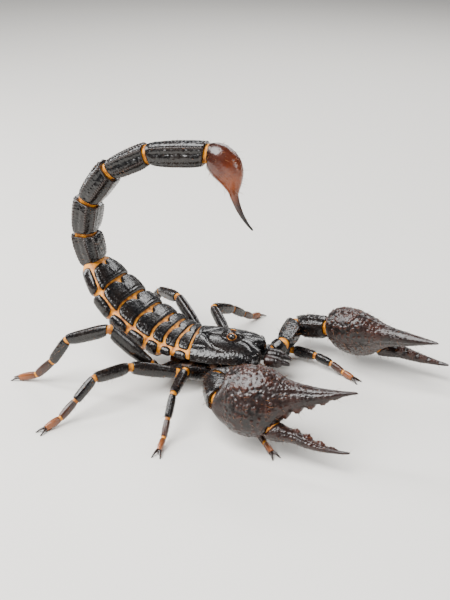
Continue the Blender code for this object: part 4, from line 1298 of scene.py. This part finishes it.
def foot_hooks(hand, number):
    """The two curved claws of a foot and the spur between them, level with the floor."""
    azimuths, ways, joints = leg_chain(hand, number)
    pieces = []
    hooks = [(bend * FOOT_CLAW_SPREAD, FOOT_CLAW_LENGTH, 1.0) for bend in (-1, 1)]
    for bend, length, thick in (*hooks, (0, 1.3, 0.9)):
        centre = joints[5] - ways[4] * 0.9 + heading(azimuths[4] + bend * 2.2, 0) * 0.25 * (bend != 0)
        centre[2] -= 0.1
        rows = []
        steps = 8
        for i in range(steps + 1):
            share = i / steps
            azimuth = azimuths[4] + bend * (1.0 - 0.35 * share)
            along = heading(azimuth, 4 - 40 * share)
            if i:
                centre = centre + along * (length / steps)
            radius = FOOT_CLAW_THICKNESS * thick * (1.1 - 0.75 * share) * (0.0 if i == 0 else 1.0)
            centre[2] = max(centre[2], radius + 0.04)
            rows.append(row(centre, along, leftward(azimuth), radius, radius, radius, None, share))
        rows.append(moved_row(rows[-1], along * 0.2, 0))
        rows[-1][2] = max(rows[-1][2], 0.03)
        pieces.append(drawn_out("hook", rows, 16, 30, 2.0, None, lambda mark: 0.15 - 0.1 * mark))
    model = new_ball("spine", 8, 8)
    ball = points(model)
    set_crest(model, np.full(len(ball), 0.1))
    for i in range(5):
        for lean in (-1, 1):
            share = 0.25 + 0.15 * i
            root = joints[4] + (joints[5] - joints[4]) * share
            root = root - np.array((0, 0, LEG_DEPTH / 2 * 0.5)) + leftward(azimuths[4]) * 0.42 * lean
            spine = twin(model)
            away = 0.5 * (ball[:, 2] + 1)
            thin = 0.13 * (1 - 0.6 * away)
            down = unit(np.array((0, 0, -0.7)) + ways[4] * 0.7)
            places = root + np.outer(away * 0.85, down) + np.outer(ball[:, 1] * thin, ways[4])
            places += np.outer(ball[:, 0] * thin, leftward(azimuths[4]))
            places[:, 2] = np.maximum(places[:, 2], 0.03)
            set_points(spine, places)
            pieces.append(spine)
    bpy.data.objects.remove(model)
    return pieces


def leg_skin(hand, number):
    """The soft skins of a leg's joints."""
    azimuths, ways, joints = leg_chain(hand, number)
    meets = [coxa_direction(hand, number), *ways]
    pieces = []
    for k in range(5):
        ends = [leg_profile(number, k)[0]]
        if k:
            ends.append(leg_profile(number, k - 1)[-1])
        width, height = np.array(ends).min(0)[1:] * 0.93
        side = leftward(azimuths[k]) if k != 1 else unit(leftward(azimuths[0]) + leftward(azimuths[1]))
        rows = skin_rows(joints[k], meets[k], meets[k + 1], side, width, height, 0.55 * height + 0.7)
        pieces.append(drawn_out("skin", rows, 32, 30, 2.2, pleats(0.3, 0.05)))
    along, way = joints[0] + (joints[1] - joints[0]) * 0.2, ways[0]
    _, width, height = leg_profile(number, 0)[2]
    rows = skin_rows(along, way, way, leftward(azimuths[0]), width * 0.9, height * 0.9, 1.2)
    pieces.append(drawn_out("skin", rows, 32, 30, 2.2, pleats(0.3, 0.05)))
    return pieces


# ---- bristles ----------------------------------------------------------------------------------
Growth = namedtuple("Growth", "piece count length lean way seed")


def faces_in_order(piece):
    """The middles in mm of a piece's faces and their outward vectors, as long as their areas.

    A new ball's faces come in another order each time, so these are sorted by their places.
    """
    mesh = piece.data
    vertex = np.zeros(len(mesh.loops), np.int32)
    start, total = np.zeros(len(mesh.polygons), np.int32), np.zeros(len(mesh.polygons), np.int32)
    mesh.loops.foreach_get("vertex_index", vertex)
    mesh.polygons.foreach_get("loop_start", start)
    mesh.polygons.foreach_get("loop_total", total)
    corner = ((points(piece) - STAND) / MM)[vertex]
    follow = np.arange(1, len(vertex) + 1)
    follow[start + total - 1] = start
    middle = np.add.reduceat(corner, start) / total[:, None]
    spread = np.add.reduceat(np.cross(corner, corner[follow]), start) / 2
    order = np.lexsort(np.round(middle, 3).T)
    return middle[order], spread[order]


def bristles(name, growths, thick):
    """Stiff hairs on the pieces: one thin cone, bent and copied to every root."""
    bpy.ops.object.select_all(action="DESELECT")
    bpy.ops.mesh.primitive_cone_add(vertices=3, radius1=1, radius2=0.1, depth=1, location=(0, 0, 0.5))
    cone = bpy.context.active_object
    cone.name = name
    bpy.ops.object.transform_apply(location=True)
    bpy.ops.object.mode_set(mode="EDIT")
    bpy.ops.mesh.select_all(action="SELECT")
    bpy.ops.mesh.bisect(plane_co=(0, 0, 0.5), plane_no=(0, 0, 1))
    bpy.ops.object.mode_set(mode="OBJECT")
    model = points(cone)
    faces = [tuple(polygon.vertices) for polygon in cone.data.polygons]
    places, patches = [], []
    for cell, growth in enumerate(growths):
        middle, spread = faces_in_order(growth.piece)
        area = np.linalg.norm(spread, axis=1)
        chance = np.random.default_rng(growth.seed)
        chosen = chance.choice(len(area), growth.count, p=area / area.sum())
        root = middle[chosen]
        out = spread[chosen] / area[chosen, None]
        lean = growth.lean * (0.7 + 0.6 * chance.random(growth.count))[:, None]
        way = out + np.asarray(growth.way) * lean + 0.25 * chance.normal(size=(growth.count, 3))
        way /= np.linalg.norm(way, axis=1)[:, None]
        droop = np.asarray(growth.way)[None] * 0.25 + np.array((0, 0, -0.12))
        long = growth.length * (0.55 + 0.75 * chance.random(growth.count))
        side = np.cross(way, (0.3, 0.2, 0.93))
        side /= np.linalg.norm(side, axis=1)[:, None]
        rise = np.cross(way, side)
        for i in range(growth.count):
            tall = model[:, 2:3] * long[i]
            hair = root[i] - way[i] * 0.08 + way[i] * tall + droop * long[i] * model[:, 2:3] ** 2
            hair = hair + (side[i] * model[:, :1] + rise[i] * model[:, 1:2]) * thick
            hair[:, 2] = np.maximum(hair[:, 2], 0.05)
            places.append(hair)
            spin = (math.atan2(out[i][1], out[i][0]) / (2 * math.pi)) % 1.0
            across, up = cell % MAP_CELLS + 0.05 + 0.9 * spin, cell // MAP_CELLS + 0.5 + 0.45 * out[i][2]
            patches.append((across / MAP_CELLS, up / MAP_CELLS))
    mesh = bpy.data.meshes.new(name)
    size = len(model)
    all_faces = [tuple(v + i * size for v in face) for i in range(len(places)) for face in faces]
    mesh.from_pydata(np.concatenate(places).tolist(), [], all_faces)
    layer = mesh.uv_layers.new(name="OFBake")
    vertex = np.zeros(len(mesh.loops), np.int32)
    mesh.loops.foreach_get("vertex_index", vertex)
    spread = np.array([(0.0015 * x, 0.003 * z - 0.0015) for x, _, z in model])
    uv = np.array(patches)[vertex // size] + spread[vertex % size]
    layer.data.foreach_set("uv", uv.ravel())
    cone.data = mesh
    return cone


# ---- settings ----------------------------------------------------------------------------------
def colour_setting(name, description, code):
    """A colour that a user may change, given as an sRGB hex code."""
    return bpy.props.FloatVectorProperty(
        name=name, description=description, default=linear(code), size=4, min=0, max=1, subtype="COLOR"
    )


class ScorpionColours(bpy.types.PropertyGroup):
    """Colours of the animal's finishes."""

    shell: colour_setting("Shell", "Deepest colour of the back, tail and limbs", "#050506")
    shell_pale: colour_setting("Shell, lighter patches", "Where the black shell thins to brown", "#140E0B")
    shell_worn: colour_setting("Shell, raised grains", "Rubbed tops of keels and grains", "#2B1A12")
    claw: colour_setting("Claw", "Deepest colour of the hands", "#0A0504")
    claw_pale: colour_setting("Claw, lighter patches", "Red-brown of the hands", "#260F08")
    claw_worn: colour_setting("Claw, raised grains", "Rubbed tops of the hands' grains", "#48200F")
    skin: colour_setting("Joint skin", "Deeper colour of the soft skins", "#84470A")
    skin_pale: colour_setting("Joint skin, stretched", "Where a skin is stretched thin", "#DC8D14")
    amber: colour_setting("Amber horn", "Bulb, feet and combs", "#8A4A17")
    bristle: colour_setting("Bristles", "Stiff hairs", "#5E3413")
    floor: colour_setting("Floor", "The plain floor", "#D9D6D0")


class ScorpionSizes(bpy.types.PropertyGroup):
    """Sizes of the fine detail."""

    bristle_thickness: bpy.props.FloatProperty(
        name="Bristle thickness",
        description="Half the thickness of a bristle's root",
        default=0.06 * MM,
        unit="LENGTH",
    )
    bristle_length: bpy.props.FloatProperty(
        name="Bristle length",
        description="Length of the bristles on the limbs",
        default=1.6 * MM,
        unit="LENGTH",
    )


# ---- operators ---------------------------------------------------------------------------------
class SCORPION_OT_finishes(bpy.types.Operator):
    """Makes the finishes of horn, skin, eye and bristle"""

    bl_idname = "scorpion.finishes"
    bl_label = "Finishes"

    def execute(self, context):
        look = context.scene.scorpion_colours
        # Black horn: dense cuticle, near black with brown where it thins, and a wet shine.
        horn("black_horn", look.shell, look.shell_pale, look.shell_worn, (0.16, 0.34), 0.4, 0.012)
        # Claw horn: the same cuticle, red-brown and rougher with grains.
        horn("claw_horn", look.claw, look.claw_pale, look.claw_worn, (0.25, 0.42), 0.4, 0.016)
        joint_skin("joint_skin", look.skin, look.skin_pale)
        # Flank skin: the same leather in a darker brown, for the skin under the head.
        joint_skin("flank_skin", linear("#1C110B"), linear("#4A2C16"))
        # Eye skin: thin skin stretched round the eyes, a deeper amber than the joints'.
        joint_skin("eye_skin", linear("#6A360A"), linear("#C67C16"))
        # Bulb horn: dark at the root, clear red-brown in the swelling, black at the point.
        bulb = [linear(code) for code in ("#1C0A06", "#4C1D0A", "#7E3A10", "#2A0F07", "#080303")]
        toned_horn("bulb_horn", bulb, 0.26)
        # Foot horn: black-brown at the shin, amber at the toes.
        toned_horn("foot_horn", (linear("#0A0504"), linear("#3C1C0B"), look.amber), 0.32)
        eye_glaze("eye_glaze", linear("#050506"), linear("#2A1C12"))
        bristle_finish("bristle", look.bristle, linear("#8A5520"))
        return {"FINISHED"}


class SCORPION_OT_head(bpy.types.Operator):
    """Makes the head shield, the middle and side eyes and the two jaws"""

    bl_idname = "scorpion.head"
    bl_label = "Head"

    def execute(self, context):
        shield = head_shield()
        places = points(shield)
        finish_piece(shield, "black_horn", "black_shell", "carapace")
        for hand, word in SIDES:
            seat, look = eye_seat(hand)
            bead = eye_bead(f"middle_eye_{word}", seat + look * EYE_LIFT, look, EYE_RADIUS, EYE_DEPTH)
            finish_piece(bead, "eye_glaze", "eye_glass", f"eye_{word}")
            finish_piece(eye_ring(f"eye_ring_{word}", hand, places), "eye_skin", "brown_shell")
            beads = []
            for x, y, radius in SIDE_EYES:
                gap = np.hypot(places[:, 0] - x, places[:, 1] - hand * y) + (places[:, 2] < 11.5) * 50
                seat = places[np.argmin(gap)] - np.array((0, 0, 0.02))
                beads.append(eye_bead("bead", seat, heading(hand * 50, 35), radius, radius * 0.9))
            finish_piece(joined(beads, f"side_eyes_{word}"), "eye_glaze", "eye_glass")
            finish_piece(jaw(hand), "claw_horn", "brown_shell", f"chelicera_{word}")
        return {"FINISHED"}


class SCORPION_OT_breast(bpy.types.Operator):
    """Makes the underside of the head: its soft skin, breastplate and hips"""

    bl_idname = "scorpion.breast"
    bl_label = "Breast and hips"

    def execute(self, context):
        finish_piece(breast_skin(), "flank_skin", "brown_shell", "prosoma_base")
        finish_piece(breastplate(), "claw_horn", "brown_shell", "prosoma_base")
        for hand, _ in SIDES:
            finish_piece(hip_plates(hand), "black_horn", "black_shell", "prosoma_base")
        return {"FINISHED"}


class SCORPION_OT_trunk(bpy.types.Operator):
    """Makes the trunk's skin and the plates of back, flanks and belly"""

    bl_idname = "scorpion.trunk"
    bl_label = "Trunk"

    def execute(self, context):
        names = [f"trunk_{k + 1}" for k in range(len(TRUNK))]
        finish_piece(trunk_skin(), "joint_skin", "brown_shell", *names)
        for k in range(len(TRUNK)):
            finish_piece(back_plate(k), "black_horn", "black_shell", f"trunk_{k + 1}")
        for hand, word in SIDES:
            plates = [side_plate(k, hand) for k in range(len(TRUNK))]
            finish_piece(joined(plates, f"side_plates_{word}"), "black_horn", "black_shell", *names)
        plates = [belly_plate(k) for k in range(2, len(TRUNK))]
        finish_piece(joined(plates, "belly_plates"), "claw_horn", "black_shell", *names[2:])
        for hand, word in SIDES:
            finish_piece(comb(hand), "foot_horn", "brown_shell", f"pecten_{word}")
        return {"FINISHED"}


class SCORPION_OT_tail(bpy.types.Operator):
    """Makes the tail's five rings, the skins between them and the venom bulb with its hook"""

    bl_idname = "scorpion.tail"
    bl_label = "Tail"

    def execute(self, context):
        for k in range(len(TAIL)):
            finish_piece(tail_ring(k), "black_horn", "black_shell", f"tail_{k + 1}")
        finish_piece(venom_bulb(), "bulb_horn", "amber_shell", "sting_bulb", "sting")
        skins = []
        for k in range(len(TAIL) + 1):
            ends = []
            if k < len(TAIL):
                ends.append(tail_profile(k)[0][1:])
            if k:
                ends.append(tail_profile(k - 1)[-1][1:])
            if k == len(TAIL):
                ends.append((TAIL_WIDTH / 2 * 0.6, TAIL_WIDTH / 2 * 0.64))
            sizes = np.array(ends).min(0) * 0.95
            ways = TAIL_MEETS[k : k + 2]
            rows = skin_rows(TAIL_JOINTS[k], *ways, leftward(TAIL_AZIMUTH), *sizes, 2.4)
            skins.append(drawn_out("skin", rows, 64, 50, 2.4, pleats(0.22, 0.08)))
        finish_piece(joined(skins, "tail_skins"), "joint_skin", "brown_shell")
        return {"FINISHED"}


class SCORPION_OT_arms(bpy.types.Operator):
    """Makes the two claw arms, from their first links to the toothed fingers"""

    bl_idname = "scorpion.arms"
    bl_label = "Claw arms"

    def execute(self, context):
        for hand, word in SIDES:
            for k, part in enumerate(("trochanter", "femur", "patella")):
                link = arm_link(hand, k)
                link.name = f"arm_shell_{part}_{word}"
                finish_piece(link, "black_horn", "black_shell", f"arm_{word}_{part}")
            piece = palm(hand)
            piece.name = f"palm_{word}"
            finish_piece(piece, "claw_horn", "brown_shell", f"claw_{word}_hand")
            piece = free_finger(hand)
            piece.name = f"free_finger_{word}"
            finish_piece(piece, "claw_horn", "brown_shell", f"claw_{word}_finger")
            azimuths, ways, joints = arm_chain(hand)
            along, side, breadth = hand_axes(hand)
            meets = [shoulder_direction(hand), *ways, along]
            sides = [leftward(azimuth) for azimuth in azimuths]
            skins = []
            for k in range(4):
                first = ARM_PROFILES[k - 1][-1][1:] if k else (2.2, 1.9)
                second = ARM_PROFILES[k][0][1:] if k < 3 else (2.7, 2.7)
                across = unit(sides[max(k - 1, 0)] + sides[min(k, 2)])
                sizes = np.minimum(first, second) * 0.95
                rows = skin_rows(joints[k], meets[k], meets[k + 1], across, *sizes, 2.2)
                skins.append(drawn_out("skin", rows, 56, 44, 2.3, pleats(0.25, 0.08)))
            hinge = joints[-1] + along * 15.6 - breadth * 7.6
            toward = unit(along * 0.75 - breadth * 0.35)
            rows = skin_rows(hinge, toward, toward, side, 2.6, 2.45, 2.4)
            skins.append(drawn_out("skin", rows, 56, 44, 2.2, pleats(0.3, 0.08)))
            finish_piece(joined(skins, f"arm_skins_{word}"), "joint_skin", "brown_shell")
        return {"FINISHED"}


class SCORPION_OT_legs(bpy.types.Operator):
    """Makes the eight walking legs with their joint skins, hooks and spines"""

    bl_idname = "scorpion.legs"
    bl_label = "Legs"

    def execute(self, context):
        for hand, word in SIDES:
            for number in HIPS:
                name, leg = f"{word}_{number}", f"leg_{word}_{number}"
                thigh = [leg_link(hand, number, 0, span) for span in ((0.0, 0.2), (0.2, 1.0))]
                thigh = joined(thigh, f"thigh_{name}")
                finish_piece(thigh, "black_horn", "black_shell", f"{leg}_thigh")
                shin = joined([leg_link(hand, number, k) for k in (1, 2)], f"shin_{name}")
                finish_piece(shin, "black_horn", "black_shell", f"{leg}_shin")
                foot = [
                    leg_link(hand, number, 3, tone=lambda mark: 0.1 + 0.35 * mark),
                    leg_link(hand, number, 4, tone=lambda mark: 0.5 + 0.4 * mark),
                    *foot_hooks(hand, number),
                ]
                finish_piece(joined(foot, f"foot_{name}"), "foot_horn", "amber_shell", f"{leg}_foot")
                skins = joined(leg_skin(hand, number), f"leg_skins_{name}")
                finish_piece(skins, "joint_skin", "brown_shell")
        return {"FINISHED"}


class SCORPION_OT_bristles(bpy.types.Operator):
    """Sets stiff hairs on the bulb, the tail, the claws and the legs"""

    bl_idname = "scorpion.bristles"
    bl_label = "Bristles"

    def execute(self, context):
        sizes = context.scene.scorpion_sizes
        length, thick = sizes.bristle_length / MM, sizes.bristle_thickness / MM
        pieces = bpy.data.objects
        tail = [Growth(pieces["venom_bulb"], 90, length * 1.2, 0.5, BULB_WAY, 1)]
        for k in range(len(TAIL)):
            tail.append(Growth(pieces[f"tail_shell_{k + 1}"], 34, length * 0.9, 0.5, TAIL_WAYS[k], 2 + k))
        finish_piece(bristles("tail_bristles", tail, thick), "bristle", "brown_shell")
        limbs = []
        for hand, word in SIDES:
            along = hand_axes(hand)[0]
            limbs.append(Growth(pieces[f"palm_{word}"], 170, length, 0.6, along, 20))
            limbs.append(Growth(pieces[f"free_finger_{word}"], 70, length * 0.8, 0.6, along, 21))
            for k, part in enumerate(("femur", "patella")):
                way = arm_chain(hand)[1][k + 1]
                limbs.append(Growth(pieces[f"arm_shell_{part}_{word}"], 60, length, 0.5, way, 22 + k))
            for number in HIPS:
                ways = leg_chain(hand, number)[1]
                for part, count, share, way, seed in (
                    ("thigh", 30, 0.8, ways[0], 30),
                    ("shin", 46, 0.9, ways[1], 40),
                    ("foot", 44, 0.6, ways[3], 50),
                ):
                    piece = pieces[f"{part}_{word}_{number}"]
                    limbs.append(Growth(piece, count, length * share, 0.6, way, seed + number))
        finish_piece(bristles("limb_bristles", limbs, thick), "bristle", "brown_shell")
        return {"FINISHED"}


class SCORPION_OT_stage(bpy.types.Operator):
    """Sets the floor, the soft studio light and the camera"""

    bl_idname = "scorpion.stage"
    bl_label = "Stage"

    def execute(self, context):
        bpy.ops.object.select_all(action="DESELECT")
        bpy.ops.mesh.primitive_plane_add(size=FLOOR_SIZE, location=(0, 0, 0))
        floor = context.active_object
        floor.name = "floor"
        tree = blank_material("matt_floor")
        place = add_node(tree, "ShaderNodeTexCoord").outputs["Object"]
        grain = add_node(tree, "ShaderNodeTexNoise", {"Vector": place, "Scale": 900.0, "Detail": 2})
        relief = add_node(tree, "ShaderNodeBump", {"Height": grain.outputs["Fac"], "Distance": 0.02 * MM})
        colour, normal = context.scene.scorpion_colours.floor, relief.outputs["Normal"]
        inputs = {"Base Color": colour, "Roughness": 0.75, "Normal": normal}
        shader = add_node(tree, "ShaderNodeBsdfPrincipled", inputs)
        add_node(tree, "ShaderNodeOutputMaterial", {"Surface": shader.outputs["BSDF"]})
        floor.data.materials.append(bpy.data.materials["matt_floor"])
        for name, place, target, size, power in LIGHTS:
            light = bpy.data.lights.new(name, "AREA")
            light.shape = "RECTANGLE"
            light.size, light.size_y = size
            light.energy = power
            obj = bpy.data.objects.new(name, light)
            context.scene.collection.objects.link(obj)
            obj.location = place
            obj.rotation_euler = aimed(place, target)
        world = bpy.data.worlds.new("studio")
        world.use_nodes = True
        background = world.node_tree.nodes["Background"]
        background.inputs["Color"].default_value = SKY
        background.inputs["Strength"].default_value = SKY_STRENGTH
        context.scene.world = world
        camera = bpy.data.objects.new("camera", bpy.data.cameras.new("camera"))
        context.scene.collection.objects.link(camera)
        place = np.array(CAMERA_PLACE) * MM + STAND
        camera.location = place
        camera.rotation_euler = aimed(place, place + np.array(CAMERA_VIEW))
        camera.data.lens = CAMERA_LENS
        camera.data.clip_start = 0.01
        camera.data.clip_end = 20
        context.scene.camera = camera
        return {"FINISHED"}


def aimed(place, target):
    """The rotation of a light or camera at a place that looks at a target, level."""
    x, y, z = np.array(target, float) - np.array(place, float)
    tilt = math.atan2(math.hypot(x, y), -z)
    return (tilt, 0.0, math.atan2(-x, y))


class SCORPION_PT_panel(bpy.types.Panel):
    """Lists the steps that build the animal"""

    bl_idname = "SCORPION_PT_panel"
    bl_label = "Scorpion"
    bl_space_type = "VIEW_3D"
    bl_region_type = "UI"
    bl_category = "Scorpion"

    def draw(self, context):
        for settings in (context.scene.scorpion_colours, context.scene.scorpion_sizes):
            box = self.layout.box()
            for name in settings.__annotations__:
                box.prop(settings, name)
        for operator in OPERATORS:
            self.layout.operator(operator.bl_idname)


OPERATORS = (
    SCORPION_OT_finishes,
    SCORPION_OT_head,
    SCORPION_OT_breast,
    SCORPION_OT_trunk,
    SCORPION_OT_tail,
    SCORPION_OT_arms,
    SCORPION_OT_legs,
    SCORPION_OT_bristles,
    SCORPION_OT_stage,
)
CLASSES = (ScorpionColours, ScorpionSizes, *OPERATORS, SCORPION_PT_panel)


def register():
    for cls in CLASSES:
        bpy.utils.register_class(cls)
    bpy.types.Scene.scorpion_colours = bpy.props.PointerProperty(type=ScorpionColours)
    bpy.types.Scene.scorpion_sizes = bpy.props.PointerProperty(type=ScorpionSizes)


def unregister():
    del bpy.types.Scene.scorpion_sizes
    del bpy.types.Scene.scorpion_colours
    for cls in reversed(CLASSES):
        bpy.utils.unregister_class(cls)


def main():
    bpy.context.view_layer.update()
    register()
    bpy.ops.scorpion.finishes()
    bpy.ops.scorpion.head()
    bpy.ops.scorpion.breast()
    bpy.ops.scorpion.trunk()
    bpy.ops.scorpion.tail()
    bpy.ops.scorpion.arms()
    bpy.ops.scorpion.legs()
    bpy.ops.scorpion.bristles()
    bpy.ops.scorpion.stage()


if __name__ == "__main__":
    main()
